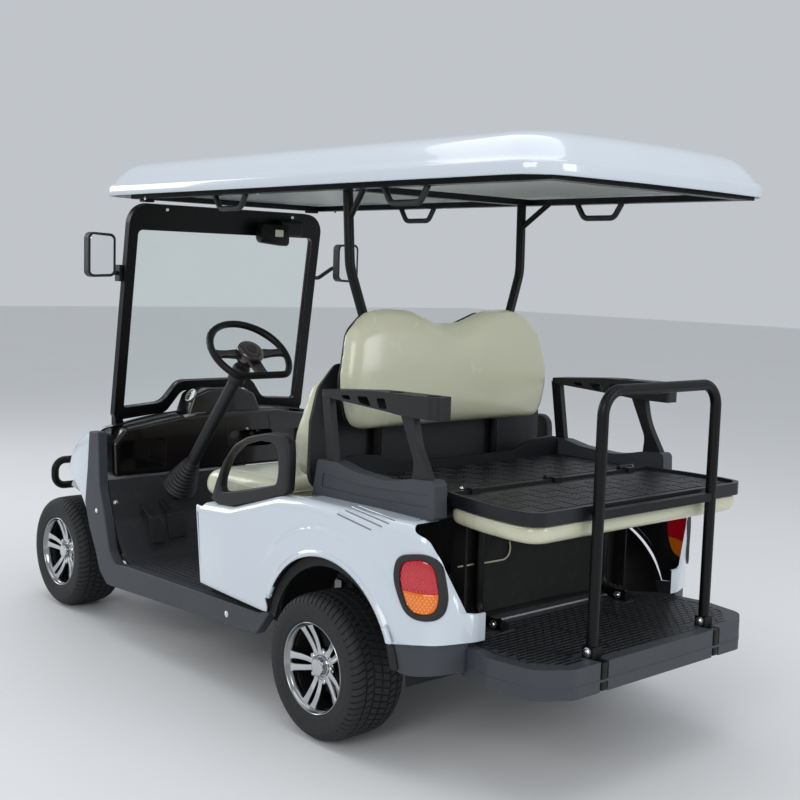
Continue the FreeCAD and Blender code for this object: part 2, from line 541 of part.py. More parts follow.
plate = slab(PLATE, "XY", 731, 766).cut(slab(drawn_in(PLATE, 11, -345), "XY", 757, 780)).cut(
    cyl((HINGE_X, -460, HINGE_Z), (HINGE_X, 460, HINGE_Z), 9.5))
CUSH = drawn_in(PLATE, 8, -345)
pad = soft(slab(CUSH, "XY", 684, 731), 14, lambda e: e.BoundBox.ZMax < 686)
hinge_m, hinge_f = [], []
for y in (-330.0, 0.0, 330.0):
    pin = cyl((HINGE_X, y - 30, HINGE_Z), (HINGE_X, y + 30, HINGE_Z), 4)
    leaf_f = lambda a, b: fuse(cyl((HINGE_X, a, HINGE_Z), (HINGE_X, b, HINGE_Z), 7.5), box(HINGE_X + 1, HINGE_X + 8.5, a, b, DECK_TOP - 2, HINGE_Z),
                               box(HINGE_X + 1, HINGE_X + 44, a, b, DECK_TOP - 2, DECK_TOP + 4))
    leaf_m = fuse(cyl((HINGE_X, y - 14, HINGE_Z), (HINGE_X, y + 14, HINGE_Z), 7.5), box(HINGE_X - 26, HINGE_X, y - 14, y + 14, HINGE_Z - 4, HINGE_Z + 2),
                  box(HINGE_X - 26, HINGE_X - 8, y - 14, y + 14, 755, HINGE_Z)).cut(
        cyl((HINGE_X, y - 20, HINGE_Z), (HINGE_X, y + 20, HINGE_Z), 4.06))
    hinge_f += [fuse(leaf_f(y - 30, y - 14.5), leaf_f(y + 14.5, y + 30), pin)]
    hinge_m += [leaf_m]
tray = fuse(tray, *hinge_f)
put("cargo_tray", tray)
put("flip_panel", fuse(plate, *hinge_m))
put("flip_cushion", pad)

# frame that carries the deck and the footboard
legs = both(tube([(-318, 265, 716), (-318, 265, 396), (-420, 265, 396)], 14, 50))
deck_rails = both(box(-322, 110, 380, 410, 690, 716))
deck_cross = [box(-322, -292, -410, 410, 690, 716), box(80, 110, -410, 410, 690, 716)]
drop = both(box(80, 110, 215, 245, 398, 690))
under = both(box(-704, -332, 226, 254, 338, 371).cut(cyl((GRAB_X, GRAB_Y, 300), (GRAB_X, GRAB_Y, 400), GRAB_R)))
put("rear_seat_legs", legs.cut(deck_cross[0]))
put("deck_frame", fuse(*(deck_rails.Solids + deck_cross)))
put("deck_posts", drop)
put("footboard_arms", under)

# footboard: moulded tray plate with a skirt, notched for the grab bar's feet
FB = [(-332, 350, 30), (-420, 436, 40), (-560, 462, 80), (-690, 440, 60), (-748, 352, 40), (-748, -352, 40), (-690, -440, 60), (-560, -462, 80),
      (-420, -436, 40), (-332, -350, 30)]
fb_o = slab(FB, "XY", 304, 382)
fb_i = slab([(x + (8 if x < -500 else -8), y - (8 if y > 0 else -8), r) for x, y, r in FB], "XY", 300, 372)
foot = fb_o.cut(fb_i)
foot = foot.cut(both(box(-760, GRAB_X + GRAB_R + 1, GRAB_Y - GRAB_R - 1, GRAB_Y + GRAB_R + 1, 290, 400)))
foot = foot.cut(both(tube([(-318, 265, 716), (-318, 265, 396), (-440, 265, 396)], 14.05, 50)))
foot = foot.cut(both(box(-345, -325, 225, 255, 337, 372)))
put("footboard", foot)
put("rear_corner_trims", both(trim.cut(fb_o)))

# grab bar: one square-tube hoop with a cross bar
hoop = tube([(GRAB_X, GRAB_Y, 306), (GRAB_X, GRAB_Y, GRAB_Z), (GRAB_X, -GRAB_Y, GRAB_Z), (GRAB_X, -GRAB_Y, 306)], GRAB_R, 62)
put("grab_bar", fuse(hoop, box(GRAB_X - 11, GRAB_X + 11, -GRAB_Y, GRAB_Y, 736, 759)))

# ------------------------------------------------------------ front end
# cowl sections: X, half width, low Z, side Z, shoulder Z, shoulder inset, middle Z
COWL = ((1362, 548, 330, 690, 744, 60, 800), (1450, 546, 330, 668, 730, 62, 784), (1560, 532, 330, 612, 690, 70, 756), (1680, 492, 330, 522, 604, 85, 706),
        (1790, 428, 330, 452, 534, 90, 634), (1880, 330, 345, 402, 466, 80, 545), (1930, 215, 370, 398, 424, 50, 458))


def cowl_wire(x, w, zb, zs, zt, ins, zc):
    P = lambda u, v: V(x, u, v)
    k = 0.7071
    mid = (w - ins * (1 - k), zs + (zt - zs) * k)
    e = [Part.LineSegment(P(-w, zb), P(w, zb)).toShape(), Part.LineSegment(P(w, zb), P(w, zs)).toShape(),
         Part.Arc(P(w, zs), P(*mid), P(w - ins, zt)).toShape(), Part.Arc(P(w - ins, zt), P(0, zc), P(-w + ins, zt)).toShape(),
         Part.Arc(P(-w + ins, zt), P(-mid[0], mid[1]), P(-w, zs)).toShape(), Part.LineSegment(P(-w, zs), P(-w, zb)).toShape()]
    return Part.Wire(e)


cowl_o = loft([cowl_wire(*c) for c in COWL])
T = 5.0
cowl_i = loft([cowl_wire(x - (1 if x < 1400 else 3.0), w - T, zb - 40, zs - T, zt - T, ins, zc - T) for x, w, zb, zs, zt, ins, zc in COWL])
cowl = cowl_o.cut(cowl_i)
for s in (1, -1):
    cowl = cowl.cut(Part.makeCylinder(318, 330, V(WHEELBASE, 290 if s > 0 else -620, 236), V(0, 1, 0)))
cowl = cowl.cut(slab([(1340, 300, 0), (1440, 300, 0), (1392, 468, 0), (1374, 600, 0), (1361, 736, 0), (1340, 736, 0)], "XZ", -600, 600))
# lamp middle, outward direction of the slope there, then outline about that middle
LAMP_C, LAMP_N = V(1836, 345, 472), V(0.775, 0.412, 0.482)
LAMP_N.normalize()
across = LAMP_N.cross(V(0, 0, 1))
across.normalize()
rise = across.cross(LAMP_N)


def lamp_front(t0, t1, grow):
    s = slab([(-74 - grow, -30 - grow, 18), (-66 - grow, 34 + grow, 24), (60 + grow, 28 + grow, 22), (76 + grow, -22 - grow, 20)], "XY", t0, t1)
    s.transformShape(FreeCAD.Matrix(across.x, rise.x, LAMP_N.x, LAMP_C.x, across.y, rise.y, LAMP_N.y, LAMP_C.y, across.z, rise.z, LAMP_N.z, LAMP_C.z,
                                    0, 0, 0, 1))
    return s


headlights = both(lamp_front(-34, 5, 0))
for s in headlights.Solids:
    cowl = cowl.cut(s)
put("headlights", headlights)

# front bumper: bent round bar on two brackets
loop = tube([(1988, 0, 424), (1988, 400, 424), (1988, 400, 528), (1988, -400, 528), (1988, -400, 424), (1988, 0, 424)], 15, 42)
stays = both(tube([(1860, 170, 314), (1920, 170, 314), (1988, 170, 420)], 13, 40))
put("front_bumper", fuse(loop, *stays.Solids))

# dashboard with its pockets and the instrument pod
DASH = [(-500, 566, 20), (-505, 690, 30), (-455, 742, 40), (-230, 776, 60), (0, 783, 0), (230, 776, 60), (455, 742, 40), (505, 690, 30), (500, 566, 20)]
dash = slab(DASH, "YZ", 1302, 1360.5)
dash = soft(dash, 14, lambda e: e.BoundBox.XMax < 1303 and e.BoundBox.ZMin > 600)
dash = fuse(dash, box(1355, 1430, -492, 492, 575, 712))
for y0, y1, z0, z1, x1 in ((290, 480, 590, 698, 1420), (-190, 10, 640, 704, 1420), (-470, -250, 600, 698, 1420)):
    dash = dash.cut(slab([(y0, z0, 18), (y1, z0, 18), (y1, z1, 18), (y0, z1, 18)], "YZ", 1290, x1))
pod = slab([(-158, 770, 0), (-120, 845, 25), (-60, 868, 60), (90, 872, 60), (150, 850, 25), (180, 770, 0)], "YZ", 1330, 1424)
pod = soft(pod, 12, lambda e: e.BoundBox.XMax < 1331)
put("dashboard", fuse(dash, pod).cut(cowl_o.cut(cowl_i).cut(pod)))
cowl = cowl.cut(pod)

# ------------------------------------------------- windshield, roof and posts
def ws(s):
    t = s.copy()
    t.rotate(V(0, 0, 0), V(0, 1, 0), -WS_LEAN)
    t.translate(V(WS_LOW[0], 0, WS_LOW[1]))
    return t


WSO = [(-WS_HALF, 0, 24), (-WS_HALF, WS_H, 75), (WS_HALF, WS_H, 75), (WS_HALF, 0, 24), (212, 22, 40), (150, 104, 40), (-150, 104, 40), (-212, 22, 40)]
WSI = [(-392, 48, 10), (-392, 712, 18), (392, 712, 18), (392, 48, 10), (230, 60, 60), (166, 142, 60), (-166, 142, 60), (-230, 60, 60)]
frame_ws = ring(WSO, WSI, "YZ", -WS_D, 0)
put("windshield_glass", ws(slab(WSI, "YZ", -19, -13)))
wiper = soft(box(-86, -30.5, -300, -196, 722, 780), 10)
feet = both(box(1441, 1471, 392, 424, 690, 790))
wsf = fuse(ws(fuse(frame_ws, box(-31, -29, -290, -206, 730, 772), wiper)), *feet.Solids)
put("windshield_frame", wsf)
put("front_cowl", cowl.cut(wsf))

# roof: flange and crown, lofted over its plan, hollow below
def plan(inset, z, bow=25.0):
    f, r, w = ROOF_FRONT - inset, ROOF_REAR + inset, ROOF_HALF - inset
    c = max(60.0, 120.0 - inset * 0.3)
    return outline([(f - bow, -w, c), (f, -w * 0.3, 900), (f, w * 0.3, 900), (f - bow, w, c), (r + bow, w, c), (r, w * 0.3, 900), (r, -w * 0.3, 900),
                    (r + bow, -w, c)], "XY", z)


# roof levels: inset of the plan, height over the lip
ROOF = ((0, 0), (0, 34), (16, 48), (26, 62), (58, 98), (104, 118), (300, 137))


def roof_solid(t):
    lev = [(i + t, h - (t if h > 0 else 8 * (t > 0))) for i, h in ROOF]
    return fuse(*[loft([plan(a[0], ROOF_LIP_Z + a[1]), plan(b[0], ROOF_LIP_Z + b[1])], True) for a, b in zip(lev, lev[1:])])


roof = roof_solid(0.0).cut(roof_solid(5.0)).cut(box(-668, 1336, -426, 426, 1560, 1585))
put("roof_canopy", roof)

# roof frame: rails, cross bars, front feet and the two rear struts
rf = []
for s in (1, -1):
    rf.append(box(-667, 1335, min(s * 385, s * 425), max(s * 385, s * 425), 1565, 1584))
    rf.append(strut(s, 15))
    rf.append(box(125, 166, min(s * 235, s * 265), max(s * 235, s * 265), 716, 722))
    rf.append(tube([(163, s * 361, 1490), (60, s * 392, 1578)], 9))
for x in (1295, 150, -667):
    rf.append(box(x, x + 40, -425, 425, 1565, 1584))
for s in (1, -1):
    rf.append(box(1300, 1334, min(s * 350, s * 390), max(s * 350, s * 390), 1557, 1572))
put("roof_frame", fuse(*rf))
HANDLES = ((-125, 1), (725, 1), (725, -1), (-125, -1))
hs = []
for x, s in HANDLES:
    y = s * 405
    hs.append(tube([(x - 88, y, 1564.9), (x - 60, y, 1522), (x + 60, y, 1522), (x + 88, y, 1564.9)], 9, 28).fuse(
        box(x - 104, x - 72, y - 14, y + 14, 1564, 1564.9)).fuse(box(x + 72, x + 104, y - 14, y + 14, 1564, 1564.9)).cut(box(x - 130, x + 130, y - 40, y + 40, 1564.9, 1600)))
put("roof_handles", Part.makeCompound([h.Solids[0] for h in hs]))

# mirrors on arms from the windshield frame
def mirror(s):
    yb = s * 432
    arm = tube([(1400, s * 431.5, 1300), (1392, s * 470, 1300), (1350, s * 505, 1340), (1335, s * 552, 1352)], 8, [15, 25])
    foot_m = box(1384, 1418, min(yb - s * 0.4, yb + s * 10), max(yb - s * 0.4, yb + s * 10), 1270, 1330)
    shell = slab([(s * 500, 1288, 22), (s * 500, 1438, 22), (s * 606, 1442, 22), (s * 606, 1284, 22)], "YZ", 1304, 1336)
    shell = shell.cut(slab([(s * 506, 1294, 18), (s * 506, 1432, 18), (s * 600, 1436, 18), (s * 600, 1290, 18)], "YZ", 1300, 1308))
    return fuse(arm, foot_m, shell)


put("mirrors", group(mirror(1), mirror(-1)))

# ----------------------------------------------------------- steering, pedals
cf, cw = V(*COLUMN_FOOT), V(*WHEEL_C)
ax = (cw - cf)
L = ax.Length
ax.normalize()
p = lambda t: tuple(cf + ax * t)
column = fuse(cyl(p(-40), p(L - 62), 22), cone(p(20), p(150), 62, 30))
strut_c = bar(p(260), (1345, COLUMN_FOOT[1], 640), 60, 30)
put("steering_column", column)
# wheel drawn flat about the origin, then set on the column
a0 = radians(228)
cut_y = WHEEL_RAD * sin(a0)
arc_w = Part.Arc(V(WHEEL_RAD * cos(a0), cut_y, 0), V(0, WHEEL_RAD, 0), V(-WHEEL_RAD * cos(a0), cut_y, 0)).toShape()
arc_t = Part.Wire([arc_w]).makePipeShell([Part.Wire([Part.makeCircle(12, V(WHEEL_RAD * cos(a0), cut_y, 0), V(-sin(a0), cos(a0), 0))])], True, True)
rim_s = fuse(arc_t, cyl((WHEEL_RAD * cos(a0), cut_y, 0), (-WHEEL_RAD * cos(a0), cut_y, 0), 12),
             Part.makeSphere(12, V(WHEEL_RAD * cos(a0), cut_y, 0)), Part.makeSphere(12, V(-WHEEL_RAD * cos(a0), cut_y, 0)))
hub = Part.makeCylinder(48, 34, V(0, 0, -34)).fuse(Part.makeCone(40, 24, 24, V(0, 0, -58)))
sp = []
for a in (0, 180, 270):
    out = WHEEL_RAD - 4 if a != 270 else -cut_y
    q = slab([(out, -13, 0), (30, -24, 0), (30, 24, 0), (out, 13, 0)], "XY", -13, -3)
    q.rotate(V(0, 0, 0), V(0, 0, 1), a)
    sp.append(q)
pad_h = soft(Part.makeCylinder(44, 40, V(0, 0, -20)), 5, lambda e: e.BoundBox.ZMin > 19)
sw = fuse(rim_s, hub, pad_h, *sp)
rot = FreeCAD.Rotation(V(0, 0, 1), ax)
up_now = rot.multVec(V(0, 1, 0))
want = V(0, 0, 1) - ax * ax.z
want.normalize()
ang = degrees(up_now.getAngle(want))
if up_now.cross(want).dot(ax) < 0:
    ang = -ang
sw.rotate(V(0, 0, 0), V(0, 0, 1), ang)
sw.Placement = FreeCAD.Placement(V(*WHEEL_C), rot).multiply(sw.Placement)
put("steering_wheel", sw)

ped = []
for y0, y1, zt in ((395, 440, 400), (305, 372, 410)):
    pp = slab([(1130, zt - 50, 4), (1142, zt - 54, 4), (1166, zt + 34, 4), (1154, zt + 38, 4)], "XZ", y0, y1)
    armp = bar((1150, (y0 + y1) / 2, zt), (1262, (y0 + y1) / 2, zt + 62), 14, 22)
    ped.append(max(fuse(pp, armp).cut(PARTS["floorboard"]).Solids, key=lambda q: q.Volume))
put("pedals", Part.makeCompound(ped))

# ------------------------------------------------------------------- export
os.makedirs("parts", exist_ok=True)
lo, hi = [1e9] * 3, [-1e9] * 3
for name in sorted(PARTS):
    s = PARTS[name].copy()
    s.translate(V(*SHIFT))
    bad = [x for x in s.Solids if not x.isValid() or x.Volume <= 0]
    bb = s.BoundBox
    for i, (a, b2) in enumerate(((bb.XMin, bb.XMax), (bb.YMin, bb.YMax), (bb.ZMin, bb.ZMax))):
        lo[i], hi[i] = min(lo[i], a), max(hi[i], b2)
    print("%-20s solids %2d  vol %8.2f l  box %6.0f..%6.0f %6.0f..%6.0f %6.0f..%6.0f %s" % (
        name, len(s.Solids), s.Volume / 1e6, bb.XMin, bb.XMax, bb.YMin, bb.YMax, bb.ZMin, bb.ZMax, "BAD" if bad else ""))
    s.exportStep("parts/%s.step" % name)
print("nodes", len(PARTS), "box", [round(v, 1) for v in lo], [round(v, 1) for v in hi])
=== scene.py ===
import bpy
import bmesh
import json
import random
from math import sin, cos, tan, pi, radians, degrees, sqrt, atan2, exp, hypot
from mathutils import Vector, Matrix
from mathutils.bvhtree import BVHTree
import numpy as np


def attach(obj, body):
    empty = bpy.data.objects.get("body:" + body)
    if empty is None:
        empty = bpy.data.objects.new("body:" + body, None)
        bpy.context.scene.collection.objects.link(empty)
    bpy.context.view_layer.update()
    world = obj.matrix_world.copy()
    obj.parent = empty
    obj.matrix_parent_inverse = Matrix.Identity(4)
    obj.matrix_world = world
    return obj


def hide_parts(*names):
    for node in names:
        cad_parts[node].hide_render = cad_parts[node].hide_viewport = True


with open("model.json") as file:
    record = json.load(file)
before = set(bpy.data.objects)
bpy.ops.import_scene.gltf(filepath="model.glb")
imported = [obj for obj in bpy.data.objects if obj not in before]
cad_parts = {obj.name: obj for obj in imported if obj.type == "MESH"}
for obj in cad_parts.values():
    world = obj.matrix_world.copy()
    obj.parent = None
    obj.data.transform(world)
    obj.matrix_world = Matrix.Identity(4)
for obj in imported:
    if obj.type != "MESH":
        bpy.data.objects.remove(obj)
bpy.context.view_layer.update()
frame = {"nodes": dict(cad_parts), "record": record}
N = frame["nodes"]
random.seed(7)

# The construction drawing's frame is in millimetres: X forward from the rear
# axle, Y to the left, Z up from a plane 22 mm below the ground.
OX, OZ = 627.5, 22.0


def D(x, y, z):
    return Vector(((x - OX) / 1000.0, y / 1000.0, (z - OZ) / 1000.0))


BODY_OF = {}
for _b, _nodes in frame["record"]["behaviour"]["bodies"].items():
    for _n in _nodes:
        BODY_OF[_n] = _b
SLOT_OF = {p["node"]: p["material_slot"] for p in frame["record"]["subparts"]}

# ----------------------------------------------------------------- camera
CAM = Vector((-3.2525, 2.610, 1.316))
YAW, PITCH, ROLL, FOCAL = radians(-41.45), radians(-6.02), radians(1.77), 1221.5


def camera_axes():
    cy, sy, cp, sp, cr, sr = cos(YAW), sin(YAW), cos(PITCH), sin(PITCH), cos(ROLL), sin(ROLL)
    d = Vector((cy * cp, sy * cp, sp))
    r = Vector((sy, -cy, 0.0))
    u = r.cross(d)
    return cr * r + sr * u, -sr * r + cr * u, d


RIGHT, UP, FWD = camera_axes()
cam_data = bpy.data.cameras.new("camera")
cam_data.sensor_width = 36.0
cam_data.lens = FOCAL * 36.0 / 800.0
cam_data.clip_end = 200.0
cam = bpy.data.objects.new("camera", cam_data)
cam.matrix_world = Matrix(((RIGHT.x, UP.x, -FWD.x, CAM.x), (RIGHT.y, UP.y, -FWD.y, CAM.y), (RIGHT.z, UP.z, -FWD.z, CAM.z), (0, 0, 0, 1)))
bpy.context.scene.collection.objects.link(cam)
bpy.context.scene.camera = cam


def pixel_ray(px, py):
    d = FWD + RIGHT * ((px - 400.0) / FOCAL) - UP * ((py - 400.0) / FOCAL)
    return d.normalized()


_trees = {}


def tree(node):
    if node not in _trees:
        me = N[node].data
        _trees[node] = BVHTree.FromPolygons([v.co.copy() for v in me.vertices], [tuple(p.vertices) for p in me.polygons])
    return _trees[node]


def hit(px, py, *nodes):
    """Where the view ray through a pixel meets the nearest of these nodes: point and outward normal."""
    d = pixel_ray(px, py)
    best = None
    for n in nodes:
        loc, nor, _, dist = tree(n).ray_cast(CAM, d)
        if loc is not None and (best is None or dist < best[2]):
            if nor.dot(d) > 0:
                nor = -nor
            best = (loc, nor, dist)
    return best


def cast(origin, direction, *nodes):
    best = None
    for n in nodes:
        loc, nor, _, dist = tree(n).ray_cast(Vector(origin), Vector(direction).normalized())
        if loc is not None and (best is None or dist < best[2]):
            if nor.dot(Vector(direction)) > 0:
                nor = -nor
            best = (loc, nor, dist)
    return best


# -------------------------------------------------------------- materials
def lin(c):
    c = c / 255.0
    return c / 12.92 if c <= 0.04045 else ((c + 0.055) / 1.055) ** 2.4


def rgb(r, g, b):
    return (lin(r), lin(g), lin(b), 1.0)


def material(name, base, rough, metal=0.0, var=0.06, var_scale=3.0, grain=0.0, grain_scale=900.0, kind="noise", rough_var=0.06,
             coat=0.0, coat_rough=0.03, sheen=0.0, spec=0.5, transmission=0.0, ior=1.5, emission=None, waves=None, edge=0.0, dirt=0.0):
    m = bpy.data.materials.new(name)
    m.use_nodes = True
    nt = m.node_tree
    nt.nodes.clear()
    out = nt.nodes.new("ShaderNodeOutputMaterial")
    b = nt.nodes.new("ShaderNodeBsdfPrincipled")
    nt.links.new(b.outputs[0], out.inputs[0])
    tc = nt.nodes.new("ShaderNodeTexCoord")
    co = tc.outputs["Object"]
    b.inputs["Metallic"].default_value = metal
    b.inputs["Specular IOR Level"].default_value = spec
    b.inputs["Coat Weight"].default_value = coat
    b.inputs["Coat Roughness"].default_value = coat_rough
    b.inputs["Sheen Weight"].default_value = sheen
    b.inputs["Transmission Weight"].default_value = transmission
    b.inputs["IOR"].default_value = ior
    if emission:
        b.inputs["Emission Color"].default_value = emission[0]
        b.inputs["Emission Strength"].default_value = emission[1]
    # colour: slow variation over the surface
    n1 = nt.nodes.new("ShaderNodeTexNoise")
    n1.inputs["Scale"].default_value = var_scale
    n1.inputs["Detail"].default_value = 5.0
    nt.links.new(co, n1.inputs["Vector"])
    ramp = nt.nodes.new("ShaderNodeValToRGB")
    ramp.color_ramp.elements[0].position = 0.3
    ramp.color_ramp.elements[1].position = 0.7
    lo = tuple(max(0.0, c * (1.0 - var)) for c in base[:3]) + (1.0,)
    hi = tuple(min(1.0, c * (1.0 + var)) for c in base[:3]) + (1.0,)
    ramp.color_ramp.elements[0].color = lo
    ramp.color_ramp.elements[1].color = hi
    nt.links.new(n1.outputs["Fac"], ramp.inputs["Fac"])
    colour = ramp.outputs["Color"]
    if dirt > 0:
        n3 = nt.nodes.new("ShaderNodeTexNoise")
        n3.inputs["Scale"].default_value = var_scale * 9.0
        n3.inputs["Detail"].default_value = 8.0
        n3.inputs["Roughness"].default_value = 0.7
        nt.links.new(co, n3.inputs["Vector"])
        r3 = nt.nodes.new("ShaderNodeMapRange")
        r3.inputs["From Min"].default_value = 0.55
        r3.inputs["From Max"].default_value = 0.85
        r3.inputs["To Max"].default_value = dirt
        nt.links.new(n3.outputs["Fac"], r3.inputs["Value"])
        mx = nt.nodes.new("ShaderNodeMix")
        mx.data_type = "RGBA"
        nt.links.new(r3.outputs["Result"], mx.inputs["Factor"])
        nt.links.new(colour, mx.inputs[6])
        mx.inputs[7].default_value = (0.32, 0.29, 0.24, 1.0)
        colour = mx.outputs[2]
    nt.links.new(colour, b.inputs["Base Color"])
    # roughness: finer, uneven
    n2 = nt.nodes.new("ShaderNodeTexNoise")
    n2.inputs["Scale"].default_value = var_scale * 6.0
    n2.inputs["Detail"].default_value = 4.0
    nt.links.new(co, n2.inputs["Vector"])
    mr = nt.nodes.new("ShaderNodeMapRange")
    mr.inputs["To Min"].default_value = max(0.0, rough - rough_var)
    mr.inputs["To Max"].default_value = min(1.0, rough + rough_var)
    nt.links.new(n2.outputs["Fac"], mr.inputs["Value"])
    nt.links.new(mr.outputs["Result"], b.inputs["Roughness"])
    # surface relief
    if grain > 0:
        if kind == "voronoi":
            g = nt.nodes.new("ShaderNodeTexVoronoi")
            g.feature = "DISTANCE_TO_EDGE"
            g.inputs["Scale"].default_value = grain_scale
            height = g.outputs["Distance"]
        else:
            g = nt.nodes.new("ShaderNodeTexNoise")
            g.inputs["Scale"].default_value = grain_scale
            g.inputs["Detail"].default_value = 3.0
            height = g.outputs["Fac"]
        nt.links.new(co, g.inputs["Vector"])
        bp = nt.nodes.new("ShaderNodeBump")
        bp.inputs["Strength"].default_value = grain
        bp.inputs["Distance"].default_value = 0.0006
        nt.links.new(height, bp.inputs["Height"])
        normal = bp.outputs["Normal"]
        if waves:
            w = nt.nodes.new("ShaderNodeTexWave")
            w.wave_type = "BANDS"
            w.bands_direction = waves[0]
            w.inputs["Scale"].default_value = waves[1]
            nt.links.new(co, w.inputs["Vector"])
            b2 = nt.nodes.new("ShaderNodeBump")
            b2.inputs["Strength"].default_value = waves[2]
            b2.inputs["Distance"].default_value = 0.001
            nt.links.new(w.outputs["Fac"], b2.inputs["Height"])
            nt.links.new(normal, b2.inputs["Normal"])
            normal = b2.outputs["Normal"]
        nt.links.new(normal, b.inputs["Normal"])
    return m


M = {
    "white": material("painted_shell", rgb(208, 217, 226), 0.16, var=0.012, var_scale=2.0, grain=0.035, grain_scale=260.0, rough_var=0.03, coat=1.0, coat_rough=0.03),
    # lighter, greenish copy of the white shell for the roof's underside: painted bounce light from the ground
    "roof_underside_bounce": material("shell_underside_painted_bounce_light", rgb(236, 240, 236), 0.34, var=0.03, grain=0.12, grain_scale=300.0, coat=0.2, coat_rough=0.2),
    "frame": material("powder_coat", rgb(7, 7, 8), 0.42, var=0.12, grain=0.16, grain_scale=1100.0, coat=0.05, coat_rough=0.15, spec=0.22),
    "dark": material("moulded_plastic_grey", rgb(57, 60, 66), 0.5, var=0.07, var_scale=5.0, grain=0.5, grain_scale=1500.0, rough_var=0.07, dirt=0.03),
    "black": material("moulded_plastic_black", rgb(29, 30, 33), 0.5, var=0.1, var_scale=5.0, grain=0.5, grain_scale=1500.0, rough_var=0.08, dirt=0.04),
    "arm": material("moulded_plastic_dark", rgb(23, 24, 27), 0.44, var=0.08, var_scale=5.0, grain=0.4, grain_scale=1500.0, rough_var=0.07, spec=0.4, dirt=0.02),
    "tread": material("moulded_tread_black", rgb(21, 23, 27), 0.38, var=0.06, var_scale=6.0, grain=0.3, grain_scale=1200.0, rough_var=0.04, spec=0.34, dirt=0.01),
    "slot": material("louvre_shadow", rgb(122, 130, 140), 0.5, var=0.05, grain=0.1, grain_scale=900.0),
    # rim lip alloy made darker than the polished alloy of the spokes: a painted reflection of dark surroundings
    "lip": material("rim_lip_alloy_dark_reflection", (0.34, 0.345, 0.35, 1), 0.16, metal=1.0, var=0.04, grain=0.05, grain_scale=400.0, rough_var=0.05),
    # black liner plastic for the wheel liners, bulkhead and seat base; on the rear shell's inner faces and arch flanges
    # it is painted shade
    "deep": material("black_liner_and_painted_shade", rgb(15, 15, 16), 0.7, var=0.15, grain=0.5, grain_scale=700.0, dirt=0.08),
    "gloss": material("gloss_trim_black", rgb(20, 16, 16), 0.24, var=0.1, grain=0.05, grain_scale=500.0, coat=0.5, coat_rough=0.08, spec=0.35),
    "cream": material("vinyl_cream", rgb(203, 203, 178), 0.25, var=0.02, var_scale=2.5, grain=0.22, grain_scale=850.0, kind="voronoi", rough_var=0.06, coat=0.5, coat_rough=0.1),
    "piping": material("vinyl_piping", rgb(212, 208, 188), 0.34, var=0.03, grain=0.2, grain_scale=900.0),
    "mat": material("rubber_floor_mat", rgb(38, 39, 43), 0.7, var=0.12, grain=0.6, grain_scale=600.0, dirt=0.1),
    "tyre": material("tyre_rubber", rgb(28, 29, 31), 0.68, var=0.12, var_scale=9.0, grain=0.35, grain_scale=700.0, rough_var=0.08, dirt=0.035),
    "chrome": material("polished_alloy", (0.62, 0.63, 0.64, 1), 0.14, metal=1.0, var=0.03, grain=0.05, grain_scale=400.0, rough_var=0.05),
    "pocket": material("painted_alloy_black", rgb(20, 20, 22), 0.26, var=0.1, grain=0.1, grain_scale=500.0, coat=0.6, coat_rough=0.08),
    "drum": material("brake_drum_iron", rgb(62, 60, 58), 0.55, metal=0.7, var=0.2, grain=0.4, grain_scale=300.0, dirt=0.15),
    "steel": material("zinc_steel", (0.62, 0.63, 0.66, 1), 0.3, metal=1.0, var=0.08, grain=0.15, grain_scale=600.0, rough_var=0.1),
    "bolt": material("chrome_bolt", (0.9, 0.9, 0.9, 1), 0.16, metal=1.0, var=0.03, grain=0.05, grain_scale=300.0),
    "under": material("chassis_paint", rgb(34, 34, 36), 0.5, var=0.2, grain=0.4, grain_scale=400.0, dirt=0.12),
    "mirror": material("mirror_glass", (0.92, 0.93, 0.94, 1), 0.02, metal=1.0, var=0.01, rough_var=0.01),
    "glass": material("clear_windshield", (0.93, 0.985, 0.965, 1), 0.01, var=0.01, rough_var=0.008, transmission=1.0, ior=1.12, spec=0.5),
    "red": material("lens_red", rgb(172, 6, 24), 0.2, var=0.12, var_scale=40.0, grain=0.2, grain_scale=240.0, kind="voronoi", coat=1.0, coat_rough=0.04,
                    emission=(rgb(230, 10, 40), 0.12)),
    "amber": material("lens_amber", rgb(222, 100, 4), 0.2, var=0.12, var_scale=40.0, grain=0.2, grain_scale=240.0, kind="voronoi", coat=1.0, coat_rough=0.04,
                      emission=(rgb(250, 130, 10), 0.12)),
    "red_led": material("led_red", rgb(208, 34, 52), 0.3, var=0.1, grain=0.1, coat=0.6),
    "amber_led": material("led_amber", rgb(250, 164, 52), 0.25, var=0.1, grain=0.1, coat=0.6),
    "clear": material("headlight_lens", rgb(206, 212, 218), 0.12, var=0.1, var_scale=30.0, grain=0.1, grain_scale=200.0, coat=1.0, coat_rough=0.02, waves=("Z", 60.0, 0.5)),
    "motor": material("motor_housing", rgb(70, 72, 76), 0.45, metal=0.6, var=0.15, grain=0.4, grain_scale=400.0, dirt=0.12),
    "battery": material("battery_case", rgb(44, 46, 52), 0.5, var=0.1, grain=0.3, grain_scale=600.0, dirt=0.08),
    "dial": material("instrument_face", rgb(30, 34, 38), 0.2, var=0.2, var_scale=60.0, grain=0.05, coat=1.0, coat_rough=0.02),
    "cap": material("horn_cap_dark", rgb(34, 24, 24), 0.2, var=0.15, var_scale=12.0, grain=0.06, grain_scale=500.0, coat=0.8, coat_rough=0.05),
    "label": material("label_blank", rgb(206, 204, 190), 0.5, var=0.05, var_scale=30.0, grain=0.1, grain_scale=900.0),
    "silver": material("satin_trim", rgb(176, 176, 178), 0.3, metal=0.8, var=0.05, grain=0.1, grain_scale=500.0),
}

